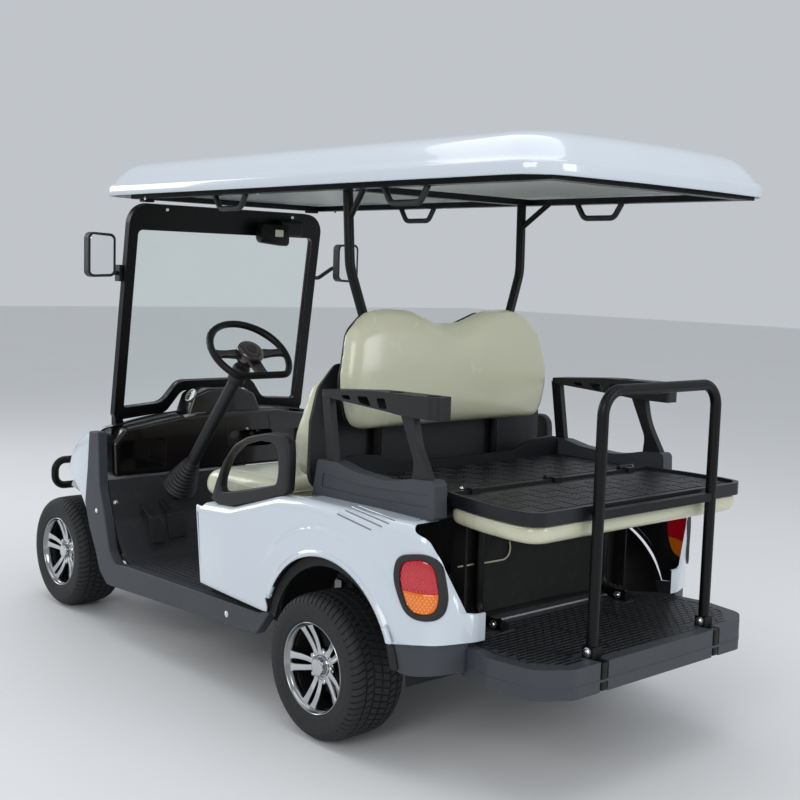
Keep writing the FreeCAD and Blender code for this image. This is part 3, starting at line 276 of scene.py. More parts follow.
SLOT_MAT = {"white_shell": "white", "black_frame": "frame", "dark_plastic": "dark", "black_plastic": "black", "gloss_black": "gloss",
            "cream_vinyl": "cream", "rubber_mat": "mat", "tyre": "tyre", "rim": "chrome", "glass": "glass", "lamp_red": "red",
            "lamp_clear": "clear", "steel": "steel", "motor": "motor", "battery": "battery"}

for _n, _o in N.items():
    _o.data.materials.clear()
    _o.data.materials.append(M[SLOT_MAT[SLOT_OF[_n]]])


# ---------------------------------------------------------------- meshes
def shade(me, angle=34.0):
    for p in me.polygons:
        p.use_smooth = True
    me.set_sharp_from_angle(angle=radians(angle))


def finish_piece(ob, mat, body, replaces=()):
    if mat is not None:
        ob.data.materials.clear()
        ob.data.materials.append(M[mat])
    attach(ob, body)
    if replaces:
        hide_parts(*replaces)
    return ob


def piece(name, verts, faces, mat, body="chassis", replaces=(), metres=False, angle=34.0, recalc=True, ride=True):
    me = bpy.data.meshes.new(name)
    co = [tuple(v) for v in verts] if metres else [tuple(D(*v)) for v in verts]
    me.from_pydata(co, [], faces)
    me.validate()
    if recalc:
        bm = bmesh.new()
        bm.from_mesh(me)
        bmesh.ops.recalc_face_normals(bm, faces=bm.faces)
        bm.to_mesh(me)
        bm.free()
    shade(me, angle)
    ob = bpy.data.objects.new(name, me)
    bpy.context.scene.collection.objects.link(ob)
    if ride:
        finish_piece(ob, mat, body, replaces)
    return ob


def rounded(pts, n=6):
    """Closed 2-D outline with rounded corners, pts (u, v, radius), as a list of points."""
    out = []
    m = len(pts)
    for i in range(m):
        a, b, c = pts[i - 1], pts[i], pts[(i + 1) % m]
        r = b[2] if len(b) > 2 else 0.0
        ax, ay, cx, cy = a[0] - b[0], a[1] - b[1], c[0] - b[0], c[1] - b[1]
        la, lc = hypot(ax, ay), hypot(cx, cy)
        ax, ay, cx, cy = ax / la, ay / la, cx / lc, cy / lc
        dot = max(-1.0, min(1.0, ax * cx + ay * cy))
        half = 0.5 * atan2(sqrt(1 - dot * dot), dot)
        if r <= 0.01 or dot < -0.9999:
            out.append((b[0], b[1]))
            continue
        t = min(r / tan(half), 0.49 * la, 0.49 * lc)
        r = t * tan(half)
        p1 = (b[0] + ax * t, b[1] + ay * t)
        p2 = (b[0] + cx * t, b[1] + cy * t)
        mx, my = ax + cx, ay + cy
        ml = hypot(mx, my)
        dd = r / sin(half)
        ctr = (b[0] + mx / ml * dd, b[1] + my / ml * dd)
        a1 = atan2(p1[1] - ctr[1], p1[0] - ctr[0])
        a2 = atan2(p2[1] - ctr[1], p2[0] - ctr[0])
        da = (a2 - a1 + pi) % (2 * pi) - pi
        for k in range(n + 1):
            w = a1 + da * k / n
            out.append((ctr[0] + r * cos(w), ctr[1] + r * sin(w)))
    return out


def resample(pts, n, closed=True):
    """n points evenly along a polyline."""
    P = np.array(pts + ([pts[0]] if closed else []), float)
    seg = np.linalg.norm(np.diff(P, axis=0), axis=1)
    s = np.concatenate([[0], np.cumsum(seg)])
    q = np.linspace(0, s[-1], n + (1 if closed else 0))
    if closed:
        q = q[:-1]
    out = [np.interp(q, s, P[:, k]) for k in range(P.shape[1])]
    return [tuple(x) for x in np.stack(out, 1)]


def bevelled(ob, width, segs=2, angle=30.0, subdiv=0):
    """Round an object's sharp edges and apply the result."""
    m = ob.modifiers.new("bevel", "BEVEL")
    m.limit_method = "ANGLE"
    m.angle_limit = radians(angle)
    m.width = width
    m.segments = segs
    m.use_clamp_overlap = True
    w = ob.modifiers.new("normals", "WEIGHTED_NORMAL")
    w.keep_sharp = False
    w.weight = 60
    bake_modifiers(ob)
    return ob


def bake_modifiers(ob):
    dg = bpy.context.evaluated_depsgraph_get()
    dg.update()
    ev = ob.evaluated_get(dg)
    me = bpy.data.meshes.new_from_object(ev, preserve_all_data_layers=False, depsgraph=dg)
    old = ob.data
    ob.modifiers.clear()
    ob.data = me
    bpy.data.meshes.remove(old)
    return ob


def soften(node, width=2.0, segs=2, mat=None, post=None, angle=30.0, name=None):
    """A copy of a CAD piece with its edges rounded, which stands for it."""
    src = N[node]
    me = src.data.copy()
    bm = bmesh.new()
    bm.from_mesh(me)
    bmesh.ops.remove_doubles(bm, verts=bm.verts, dist=2e-5)
    bmesh.ops.dissolve_degenerate(bm, dist=1e-5, edges=bm.edges)
    bmesh.ops.dissolve_limit(bm, angle_limit=radians(0.4), verts=bm.verts, edges=bm.edges)
    if post:
        post(bm)
    bm.normal_update()
    for f in bm.faces:
        f.smooth = True
    bm.to_mesh(me)
    bm.free()
    ob = bpy.data.objects.new(name or node + "_skin", me)
    bpy.context.scene.collection.objects.link(ob)
    if width > 0:
        bevelled(ob, width / 1000.0, segs, angle)
    else:
        shade(ob.data)
    finish_piece(ob, mat or SLOT_MAT[SLOT_OF[node]], BODY_OF[node], (node,))
    return ob


def lathe(name, prof, centre, axis, mat, n=64, body="chassis", replaces=(), closed=False, angle=34.0, wobble=None):
    """Turn (along, radius) points about an axis through centre (design mm)."""
    ax = Vector(axis).normalized()
    s = ax.orthogonal().normalized()
    t = ax.cross(s)
    c = Vector(centre)
    verts, faces = [], []
    m = len(prof)
    for i in range(n):
        w = 2 * pi * i / n
        dirn = s * cos(w) + t * sin(w)
        for a, r in prof:
            verts.append(c + ax * a + dirn * max(r, 0.01))
    for i in range(n):
        j = (i + 1) % n
        for k in range(m - 1 + (1 if closed else 0)):
            k2 = (k + 1) % m
            faces.append((i * m + k, j * m + k, j * m + k2, i * m + k2))
    if not closed:
        for k in (0, m - 1):
            faces.append(tuple(i * m + k for i in range(n)))
    return piece(name, verts, faces, mat, body, replaces, angle=angle)


def sweep_data(path, section, closed=False, up=None):
    """Verts and faces of a section (list of (a, b)) carried along a path of points. section may be a function of the share of the way."""
    P = [Vector(p) for p in path]
    n = len(P)
    T = []
    for i in range(n):
        a = P[(i - 1) % n] if (closed or i > 0) else P[i]
        b = P[(i + 1) % n] if (closed or i < n - 1) else P[i]
        T.append((b - a).normalized())
    ref = Vector(up) if up is not None else T[0].orthogonal()
    verts, faces = [], []
    prev = (ref - T[0] * ref.dot(T[0])).normalized()
    m = None
    for i in range(n):
        if up is not None:
            u = (Vector(up) - T[i] * Vector(up).dot(T[i]))
            u = u.normalized() if u.length > 1e-6 else prev
        else:
            u = (prev - T[i] * prev.dot(T[i])).normalized()
        prev = u
        v = T[i].cross(u)
        sec = section(i / (n - 1.0)) if callable(section) else section
        m = len(sec)
        for a, b in sec:
            verts.append(P[i] + u * a + v * b)
    last = n if closed else n - 1
    for i in range(last):
        j = (i + 1) % n
        for k in range(m):
            k2 = (k + 1) % m
            faces.append((i * m + k, i * m + k2, j * m + k2, j * m + k))
    if not closed:
        faces.append(tuple(range(m)))
        faces.append(tuple((n - 1) * m + k for k in range(m)))
    return verts, faces


def circle(r, n=16, rb=None):
    rb = r if rb is None else rb
    return [(r * cos(2 * pi * k / n), rb * sin(2 * pi * k / n)) for k in range(n)]


def smooth_path(pts, radius, n=8, step=None):
    """3-D route with rounded corners."""
    P = [Vector(p) for p in pts]
    out = [P[0]]
    for i in range(1, len(P) - 1):
        a, c = (P[i - 1] - P[i]), (P[i + 1] - P[i])
        la, lc = a.length, c.length
        a.normalize()
        c.normalize()
        half = a.angle(c) / 2
        if half > 1.55:
            out.append(P[i])
            continue
        t = min(radius / tan(half), 0.49 * la, 0.49 * lc)
        p1, p2 = P[i] + a * t, P[i] + c * t
        r = t * tan(half)
        ctr = P[i] + (a + c).normalized() * (r / sin(half))
        for k in range(n + 1):
            q = p1.lerp(p2, k / n) - ctr
            out.append(ctr + q.normalized() * r)
    out.append(P[-1])
    return out


def merge(*data):
    V, F = [], []
    for v, f in data:
        o = len(V)
        V += list(v)
        F += [tuple(i + o for i in q) for q in f]
    return V, F


def rib(x0, x1, y0, y1, z0, z1, c=1.2):
    """A low block whose top edges are drawn in."""
    v = [(x0, y0, z0), (x1, y0, z0), (x1, y1, z0), (x0, y1, z0), (x0 + c, y0 + c, z1), (x1 - c, y0 + c, z1), (x1 - c, y1 - c, z1), (x0 + c, y1 - c, z1)]
    f = [(3, 2, 1, 0), (4, 5, 6, 7), (0, 1, 5, 4), (1, 2, 6, 5), (2, 3, 7, 6), (3, 0, 4, 7)]
    return v, f


def prism(pts, plane, a, b, c=0.0):
    """Outline made thick, with its edges drawn in by c at both ends."""
    def put3(u, v, w):
        return (u, w, v) if plane == "XZ" else ((u, v, w) if plane == "XY" else (w, u, v))
    n = len(pts)
    cu = sum(p[0] for p in pts) / n
    cv = sum(p[1] for p in pts) / n
    area = sum(pts[i][0] * pts[(i + 1) % n][1] - pts[(i + 1) % n][0] * pts[i][1] for i in range(n))
    sgn = 1 if area > 0 else -1
    inner = []
    for i in range(n):
        p, q, r = pts[i - 1], pts[i], pts[(i + 1) % n]
        e1 = Vector((q[0] - p[0], q[1] - p[1]))
        e2 = Vector((r[0] - q[0], r[1] - q[1]))
        n1 = Vector((-e1.y, e1.x)).normalized() * sgn if e1.length > 1e-9 else Vector((0, 0))
        n2 = Vector((-e2.y, e2.x)).normalized() * sgn if e2.length > 1e-9 else n1
        nn = n1 + n2
        nn = nn.normalized() if nn.length > 1e-6 else n1
        inner.append((q[0] + nn.x * c, q[1] + nn.y * c))
    s = 1 if b > a else -1
    V = [put3(u, v, a) for u, v in inner] + [put3(u, v, a + s * c) for u, v in pts] + [put3(u, v, b - s * c) for u, v in pts] + [put3(u, v, b) for u, v in inner]
    F = []
    if c > 0:
        rings = (0, 1, 2)
    else:
        V = [put3(u, v, a) for u, v in pts] + [put3(u, v, b) for u, v in pts]
        rings = (0,)
    for k in rings:
        for i in range(n):
            j = (i + 1) % n
            F.append((k * n + i, k * n + j, (k + 1) * n + j, (k + 1) * n + i))
    F.append(tuple(range(n)))
    F.append(tuple((rings[-1] + 1) * n + i for i in range(n)))
    return V, F


def bolt(name, loc, nor, r=7.0, mat="bolt", body="chassis", height=5.0):
    """Domed head on a washer, standing on a surface point (metres)."""
    nor = Vector(nor).normalized()
    c = Vector((loc[0] * 1000 + OX, loc[1] * 1000, loc[2] * 1000 + OZ))
    prof = [(-1.0, 0.0), (-1.0, r * 1.25), (0.9, r * 1.25), (1.3, r * 1.16), (1.3, r * 0.86), (height * 0.55, r * 0.82), (height * 0.86, r * 0.6),
            (height, r * 0.3), (height, 0.0)]
    return lathe(name, prof, c, nor, mat, n=20, body=body)


def smoothstep(a, b, x):
    t = max(0.0, min(1.0, (x - a) / (b - a)))
    return t * t * (3 - 2 * t)


# ------------------------------------------------------------------ wheels
WHEELS = (("front_left", 1670.0, 454.0, 1), ("front_right", 1670.0, -454.0, -1), ("rear_left", 0.0, 505.0, 1), ("rear_right", 0.0, -505.0, -1))
AXLE_Z = 230.0


def tyre_mesh(name, cx, cy, sgn):
    # rows over the section, from the outer bead round the tread to the inner bead:
    # out along the axle, radius, share of sipe depth, turn of the sipe in pitches
    half = [(76.8, 131.3, 0, 0), (84.5, 131.6, 0, 0), (87.0, 135.5, 0, 0), (88.6, 142, 0, 0), (88.2, 143.6, 0, 0), (89.6, 150, 0, 0), (90.5, 158, 0, 0),
            (91.0, 167, 0, 0), (90.6, 169, 0, 0), (90.9, 171, 0, 0), (90.3, 178, 0, 0), (89.0, 183.5, 0, 0.0), (88.2, 185.6, 0.85, 0.0), (86.0, 190.4, 1, 0.04),
            (82.0, 195.8, 1, 0.12), (76.0, 200.2, 1, 0.24), (69.0, 203.3, 1, 0.40), (61.5, 205.2, 1, 0.58), (57.6, 205.9, 1, 0.68),
            (56.4, 201.2, 0, 0.72), (52.8, 201.2, 0, 0.22), (51.6, 206.4, 1, 0.24), (45.0, 206.9, 1, 0.38), (38.0, 207.2, 1, 0.50), (31.8, 207.4, 1, 0.60),
            (30.6, 202.4, 0, 0.62), (27.4, 202.4, 0, 0.10), (26.2, 207.6, 1, 0.12), (19.0, 207.8, 1, 0.0), (11.0, 207.95, 1, -0.1), (3.4, 208.0, 1, -0.18),
            (2.4, 203.2, 0, -0.2)]
    rows = [(a, r, g, t) for a, r, g, t in half] + [(-a, r, g, 0.5 - t) for a, r, g, t in reversed(half)]
    inner = [(-76.8, 131.0), (-73.2, 123.4), (-60, 124.0), (-70, 150), (-72, 172), (-58, 191), (0, 196), (58, 191), (72, 172), (70, 150), (60, 124.0), (73.2, 123.4)]
    pitch = 62
    cols = (0.0, 0.035, 0.165, 0.20, 0.47, 0.74)
    deep = (0, 1, 1, 0, 0, 0)
    nc = pitch * len(cols)
    rows_all = rows + [(a, r, 0, 0) for a, r in inner]
    m = len(rows_all)
    verts = []
    for p in range(pitch):
        for cu, dp in zip(cols, deep):
            for k, (a, r, g, t) in enumerate(rows_all):
                w = 2 * pi * (p + cu + (t if k < len(rows) else 0)) / pitch
                if k < len(rows):
                    fade = 1.0 if 12 <= k < len(rows) - 12 else 0.0
                    w = 2 * pi * (p + cu + t * fade + (0.0 if fade else (0.0 if k < 12 else 0.5))) / pitch
                else:
                    w = 2 * pi * (p + cu + 0.5 - 0.5 * (k - len(rows)) / (len(inner) - 1)) / pitch
                rr = r - (4.0 if abs(a) > 57 else 4.6) * g * dp
                aa = a - (1.6 if a > 0 else -1.6) * g * dp * (1 if abs(a) > 80 else 0)
                verts.append((cx + rr * sin(w), cy + sgn * aa, AXLE_Z + rr * cos(w)))
    faces = []
    for i in range(nc):
        j = (i + 1) % nc
        for k in range(m):
            k2 = (k + 1) % m
            faces.append((i * m + k, i * m + k2, j * m + k2, j * m + k))
    return piece("tyre_" + name + "_tread", verts, faces, "tyre", BODY_OF["tyre_" + name], ("tyre_" + name,), angle=38.0)


LIP, DISH = 86.0, 40.0


def rim_mesh(name, cx, cy, sgn):
    body = BODY_OF["rim_" + name]
    c = (cx, cy, AXLE_Z)
    ax = (0, sgn, 0)
    lip = [(LIP - 10.5, 131.0), (LIP - 4, 131.0), (LIP - 1.2, 130.4), (LIP, 128.8), (LIP - 0.6, 127.0), (LIP - 3.0, 125.6), (LIP - 7.0, 124.6), (LIP - 11, 122.0),
           (LIP - 14, 119.4), (LIP - 22, 118.4), (LIP - 34, 118.0), (LIP - 34, 121.4), (LIP - 14.5, 122.2)]
    # the lip takes the darkened alloy: painted dark reflection
    lathe("rim_" + name + "_lip", lip, c, ax, "lip", 96, body, ("rim_" + name,), closed=True, angle=50)
    barrel = [(LIP - 33, 117.6), (LIP - 60, 113.0), (-LIP + 24, 113.0), (-LIP + 10, 120.0), (-LIP + 4, 124.0), (-LIP + 3, 130.8), (-LIP + 9, 129.4),
              (-LIP + 13, 122.6), (LIP - 33, 122.4)]
    lathe("rim_" + name + "_barrel", barrel, c, ax, "pocket", 80, body, closed=True)
    drum = [(LIP - 120, 16.0), (LIP - 120, 101.0), (LIP - 92, 101.0), (LIP - 82, 97.0), (LIP - 80, 72.0), (LIP - 78, 70.0), (LIP - 78, 44.0), (LIP - 72, 42.0),
            (LIP - 72, 16.0)]
    lathe("rim_" + name + "_drum", drum, c, ax, "drum", 60, body, closed=True)
    # spokes: pairs of curved bars that rise from the sunk hub to the lip
    data = []
    for i in range(5):
        for side in (-1, 1):
            base = radians((-5 if cx < 800 else 12) + 72 * i)
            path = []
            steps = 15
            for k in range(steps + 1):
                u = k / steps
                r = 38.0 + (119.5 - 38.0) * u
                off = side * (9.6 + 8.6 * u ** 1.2)          # sideways from the pair's middle line
                bend = 5.0 * sin(pi * min(1.0, u * 1.02)) * side * 0.35
                a_out = LIP - DISH + 3.0 + (DISH - 17.0) * (u ** 1.75)
                x = r * cos(base) - (off + bend) * sin(base)
                z = r * sin(base) + (off + bend) * cos(base)
                path.append((cx + x, cy + sgn * (a_out - 5.5), AXLE_Z + z))

            def sec(u):
                w = 7.6 + 2.6 * u + (3.0 * exp(-((u - 1.0) / 0.09) ** 2)) + 1.6 * exp(-(u / 0.12) ** 2)
                h = 6.6 + 3.0 * (1 - u)
                e = 1.9
                return [(-h, -w + 0.6), (h - e, -w), (h - 0.5, -w + 0.7), (h, -w + e), (h - 0.9, 0), (h, w - e), (h - 0.5, w - 0.7), (h - e, w), (-h, w - 0.6)]
            data.append(sweep_data(path, sec, up=ax))
    V, F = merge(*data)
    piece("rim_" + name + "_spokes", V, F, "chrome", body, angle=40)
    hub = [(LIP - DISH - 26, 20.0), (LIP - DISH - 26, 50.0), (LIP - DISH - 8, 52.0), (LIP - DISH + 1.0, 50.0), (LIP - DISH + 3.2, 46.0), (LIP - DISH + 3.2, 33.0),
           (LIP - DISH - 2, 31.5), (LIP - DISH - 2, 20.0)]
    lathe("rim_" + name + "_hub", hub, c, ax, "chrome", 60, body, closed=True)
    cap = [(LIP - DISH - 4, 0.0), (LIP - DISH - 4, 30.0), (LIP - DISH + 4.0, 30.0), (LIP - DISH + 5.0, 29.0), (LIP - DISH + 5.0, 27.0), (LIP - DISH + 9.0, 26.2),
           (LIP - DISH + 18.0, 25.4), (LIP - DISH + 21.0, 23.6), (LIP - DISH + 22.6, 20.0), (LIP - DISH + 22.0, 12.0), (LIP - DISH + 22.4, 0.0)]
    lathe("rim_" + name + "_cap", cap, c, ax, "chrome", 48, body)
    # wheel nuts in the pockets between the spoke pairs
    data = []
    for i in range(5):
        w = radians((-5 if cx < 800 else 12) + 36 + 72 * i)
        px, pz = cx + 43.5 * cos(w), AXLE_Z + 43.5 * sin(w)
        pts = [(px + 7.6 * cos(pi / 3 * k), pz + 7.6 * sin(pi / 3 * k)) for k in range(6)]
        y0, y1 = sorted((cy + sgn * (LIP - DISH - 6), cy + sgn * (LIP - DISH + 9)))
        data.append(prism(pts, "XZ", y0, y1, 1.2))
    V, F = merge(*data)
    piece("rim_" + name + "_nuts", V, F, "steel", body)


for _w in WHEELS:
    tyre_mesh(*_w)
    rim_mesh(*_w)

# -------------------------------------------------------------------- roof
ROOF_HALF, ROOF_LIP_Z, ROOF_FRONT, ROOF_REAR = 500.0, 1573.0, 1470.0, -715.0


def catmull(pts, per):
    P = [pts[0]] + list(pts) + [pts[-1]]
    out = []
    for i in range(1, len(P) - 2):
        for k in range(per):
            t = k / per
            q = []
            for d in range(len(P[0])):
                p0, p1, p2, p3 = P[i - 1][d], P[i][d], P[i + 1][d], P[i + 2][d]
                q.append(0.5 * (2 * p1 + (-p0 + p2) * t + (2 * p0 - 5 * p1 + 4 * p2 - p3) * t * t + (-p0 + 3 * p1 - 3 * p2 + p3) * t ** 3))
            out.append(tuple(q))
    out.append(pts[-1])
    return out


def roof_plan(inset, n):
    f, r, w = ROOF_FRONT - inset, ROOF_REAR + inset, ROOF_HALF - inset
    c = max(30.0, 120.0 - inset * 0.2)
    bow = 25.0
    pts = [(f, 0, 0), (f, w * 0.3, 900), (f - bow, w, c), (r + bow, w, c), (r, w * 0.3, 900), (r, -w * 0.3, 900), (r + bow, -w, c), (f - bow, -w, c), (f, -w * 0.3, 900)]
    return resample(rounded(pts, 14), n)


def roof_mesh():
    outer = [(4.0, 0.0), (0.6, 1.2), (0, 4.0), (0, 26.0), (1.6, 32.5), (6.5, 36.8), (13, 41.5), (18.5, 49), (24.5, 58.5), (35, 73), (48, 88), (62, 99), (80, 108),
             (104, 115.5), (140, 122), (200, 128.5), (280, 133.5), (360, 136), (430, 137), (470, 137)]
    lev = [(i, ROOF_LIP_Z + h) for i, h in outer]
    t = 5.0
    under = [(470, ROOF_LIP_Z + 137 - t), (360, ROOF_LIP_Z + 136 - t), (200, ROOF_LIP_Z + 128.5 - t), (140, ROOF_LIP_Z + 122 - t), (104 + 1, ROOF_LIP_Z + 115.5 - t),
             (80 + 3, ROOF_LIP_Z + 108 - t), (62 + 4, ROOF_LIP_Z + 99 - t), (48 + 4, ROOF_LIP_Z + 88 - t), (24.5 + 5, ROOF_LIP_Z + 58.5 - 2), (18.5 + 5, ROOF_LIP_Z + 46),
             (11, ROOF_LIP_Z + 34), (5.6, ROOF_LIP_Z + 28), (5.0, ROOF_LIP_Z + 4), (4.6, ROOF_LIP_Z + 0.6)]
    n = 260
    allv, faces = [], []
    levels = lev + under
    for inset, z in levels:
        allv += [(x, y, z) for x, y in roof_plan(inset, n)]
    L = len(levels)
    for a in range(L):
        b = (a + 1) % L
        if a == len(lev) - 1:
            continue                       # closed separately at the top
        for i in range(n):
            j = (i + 1) % n
            faces.append((a * n + i, a * n + j, b * n + j, b * n + i))
    faces.append(tuple((len(lev) - 1) * n + i for i in range(n)))
    faces.append(tuple(len(lev) * n + i for i in range(n)))
    ob = piece("roof_canopy_shell", allv, faces, "white", "chassis", ("roof_canopy",), angle=60)
    # faces under the roof take the lighter underside copy: painted bounce light
    ob.data.materials.append(M["roof_underside_bounce"])
    top = (ROOF_LIP_Z - OZ + 4) / 1000
    for p in ob.data.polygons:
        if p.normal.z < -0.15 and p.center.z > top:
            p.material_index = 1
    return ob


roof_mesh()


# --------------------------------------------------- rear body with flares
def flare(bm):
    bmesh.ops.triangulate(bm, faces=bm.faces)
    cx, cz = (-50 - OX) / 1000, (262 - OZ) / 1000

    def inside(co):
        return abs(co.y) > 0.545 and hypot(co.x - cx, co.z - cz) < 0.43
    for _ in range(5):
        es = [e for e in bm.edges if e.calc_length() > 0.016 and (inside(e.verts[0].co) or inside(e.verts[1].co))
              and min(hypot(v.co.x - cx, v.co.z - cz) for v in e.verts) < 0.42]
        if not es or len(bm.faces) > 90000:
            break
        bmesh.ops.subdivide_edges(bm, edges=es, cuts=1, use_grid_fill=False)
        bmesh.ops.triangulate(bm, faces=[f for f in bm.faces if len(f.verts) > 3])
    for v in bm.verts:
        co = v.co
        if abs(co.y) < 0.56:
            continue
        r = hypot(co.x - cx, co.z - cz) * 1000
        th = degrees(atan2(co.z - cz, co.x - cx)) % 360
        if th > 200:
            continue
        amp = 7.0 * (1 - smoothstep(362, 380, r)) * smoothstep(18, 72, th) * smoothstep(0.56, 0.576, abs(co.y))
        co.y += (1 if co.y > 0 else -1) * amp / 1000


_rb = soften("rear_body", 0, post=flare)
# inner, downward and arch faces of the white shell take the black liner: painted shade inside the arches and under the
# body
_rb.data.materials.append(M["deep"])
for _p in _rb.data.polygons:
    _c, _nn = _p.center, _p.normal
    _x = _c.x * 1000 + OX
    _z = _c.z * 1000 + OZ
    _s = 1 if _c.y > 0 else -1
    if (_nn.y * _s < -0.25 and abs(_c.y) > 0.3) or (_x < -200 and _nn.x > 0.3) or (_nn.z < -0.4 and _z > 420) or (hypot(_x + 50, _z - 262) < 296 and abs(_c.y) < 0.578):
        _p.material_index = 1

# edges of the moulded and welded pieces rounded
for _n, _w in (("armrest_left", 3.0), ("armrest_right", 3.0), ("rocker_panels", 4.0), ("footboard", 5.0), ("flip_panel", 4.0), ("cargo_tray", 2.0),
               ("rear_corner_trims", 3.0), ("windshield_frame", 4.0), ("dashboard", 4.0), ("front_cowl", 1.5), ("rear_bulkhead", 1.5),
               ("seat_base", 2.0), ("seat_board", 1.5), ("rear_seat_legs", 1.0), ("deck_frame", 1.6), ("deck_posts", 1.6), ("footboard_arms", 1.6), ("roof_frame", 1.8), ("chassis_frame", 2.0), ("grab_bar", 1.2),
               ("seat_back_shells", 2.0), ("floorboard", 2.0), ("rear_axle", 2.0), ("front_axle", 1.5), ("front_bumper", 1.0)):
    if _n not in N:
        continue
    soften(_n, _w, mat={"chassis_frame": "under", "rear_axle": "under", "front_axle": "under", "rear_bulkhead": "deep", "seat_base": "deep",
                       "armrest_left": "arm", "armrest_right": "arm", "flip_panel": "tread", "cargo_tray": "tread"}.get(_n))
_cw = bpy.data.objects["front_cowl_skin"]
_bm = bmesh.new()
_bm.from_mesh(_cw.data)
bmesh.ops.bisect_plane(_bm, geom=_bm.verts[:] + _bm.edges[:] + _bm.faces[:], plane_co=D(1452, 0, 760), plane_no=Vector((1, 0, 0.15)))
_bm.to_mesh(_cw.data)
_bm.free()
_cw.data.materials.append(M["gloss"])
for _p in _cw.data.polygons:
    if (_p.center - D(1452, 0, 760)).dot(Vector((1, 0, 0.15))) < 0 and abs(_p.center.y) < 0.47 and _p.center.z > 0.6:
        _p.material_index = 1
for _n in ("battery_pack", "drive_motor", "wheel_liners"):
    if _n == "wheel_liners":
        N[_n].data.materials[0] = M["deep"]

# black flange inside each rear arch: an inner fender lip, its black also painted shade for the dark arch interior
for _s, _nm in ((1, "left"), (-1, "right")):
    _v, _f = [], []
    _m = 72
    for _k in range(_m + 1):
        _w = radians(14 + 156.0 * _k / _m)
        for _r, _y in ((262.0, 565.5), (290.4, 565.5), (290.4, 570.5), (262.0, 570.5)):
            _v.append((-50 + _r * cos(_w), _s * _y, 262 + _r * sin(_w)))
    for _k in range(_m):
        for _j in range(4):
            _f.append((_k * 4 + _j, _k * 4 + (_j + 1) % 4, _k * 4 + 4 + (_j + 1) % 4, _k * 4 + 4 + _j))
    _f.append((0, 1, 2, 3))
    _f.append(tuple(_m * 4 + _j for _j in range(4)))
    piece("arch_flange_" + _nm, _v, _f, "deep", angle=40)

# -------------------------------------------------------------- soft goods
def coords(me):
    co = np.empty(len(me.vertices) * 3)
    me.vertices.foreach_get("co", co)
    return co.reshape(-1, 3)


def set_coords(me, co):
    me.vertices.foreach_set("co", co.astype(np.float32).ravel())
    me.update()


def relax(me, co, n, lam=0.5):
    e = np.empty(len(me.edges) * 2, np.int64)
    me.edges.foreach_get("vertices", e)
    e = e.reshape(-1, 2)
    deg = np.bincount(e.ravel(), minlength=len(co))[:, None]
    for _ in range(n):
        s = np.zeros_like(co)
        for k in range(3):
            s[:, k] = np.bincount(e[:, 0], co[e[:, 1], k], len(co)) + np.bincount(e[:, 1], co[e[:, 0], k], len(co))
        co = co + lam * (s / deg - co)
    return co


def normals(me):
    q = np.empty(len(me.vertices) * 3)
    me.vertices.foreach_get("normal", q)
    return q.reshape(-1, 3)


def swelling(me, co, new):
    """How far the cloth has swelled along the surface, from 0 to 1."""
    d = new - co
    d -= d.mean(axis=0)
    q = relax(me, (d * normals(me)).sum(axis=1)[:, None].repeat(3, axis=1), 12)[:, 0]
    a, b = np.percentile(q, 8), np.percentile(q, 92)
    return np.clip((q - a) / max(b - a, 1e-6), 0.0, 1.0)


def even(me, co, axis, rounds=30):
    """Broad faces smoothed further, edges kept."""
    w = np.clip((np.abs(normals(me)[:, axis]) - 0.86) / 0.12, 0.0, 1.0)
    w = relax(me, w[:, None].repeat(3, axis=1), 6)[:, :1]
    return co * (1 - w) + relax(me, co, rounds) * w


def cushion(name, node, voxel, rounds, inset, cap, clamp=None, press=4.0, stiff=15.0, shape=None):
    """A stuffed piece: the solid's form rounded, then swelled by cloth under pressure, its swelling capped."""
    me = N[node].data.copy()
    bm = bmesh.new()
    bm.from_mesh(me)
    bmesh.ops.remove_doubles(bm, verts=bm.verts, dist=2e-5)
    bm.to_mesh(me)
    bm.free()
    ob = bpy.data.objects.new(name, me)
    bpy.context.scene.collection.objects.link(ob)
    m = ob.modifiers.new("remesh", "REMESH")
    m.mode = "VOXEL"
    m.voxel_size = voxel
    bake_modifiers(ob)
    me = ob.data
    co = coords(me)
    nor = np.empty(len(me.vertices) * 3)
    me.vertices.foreach_get("normal", nor)
    co = relax(me, co - nor.reshape(-1, 3) * inset, rounds)
    if shape:
        co = shape(co)
    set_coords(me, co)
    c = ob.modifiers.new("cloth", "CLOTH")
    s = c.settings
    s.use_pressure = True
    s.uniform_pressure_force = press
    s.effector_weights.gravity = 0.0
    s.quality = 5
    s.mass = 0.3
    s.tension_stiffness = stiff
    s.compression_stiffness = stiff
    s.shear_stiffness = stiff * 0.6
    s.bending_stiffness = 3.0
    c.point_cache.frame_start = 1
    c.point_cache.frame_end = 20
    sc = bpy.context.scene
    for f in range(1, 21):
        sc.frame_set(f)
    dg = bpy.context.evaluated_depsgraph_get()
    ev = ob.evaluated_get(dg).to_mesh()
    new = coords(ev)
    ob.evaluated_get(dg).to_mesh_clear()
    ob.modifiers.clear()
    sc.frame_set(1)
    w = swelling(me, co, new)[:, None]
    co = co + normals(me) * (min(cap, inset + 0.004) * 0.78 + min(cap, inset + 0.004) * 0.42 * w)
    co = relax(me, co, 2)
    if clamp:
        co = clamp(co)
    set_coords(me, co)
    m = ob.modifiers.new("sub", "SUBSURF")
    m.levels = 1
    m.render_levels = 1
    bake_modifiers(ob)
    shade(ob.data, 80)
    finish_piece(ob, "cream", BODY_OF[node], (node,))
    return ob


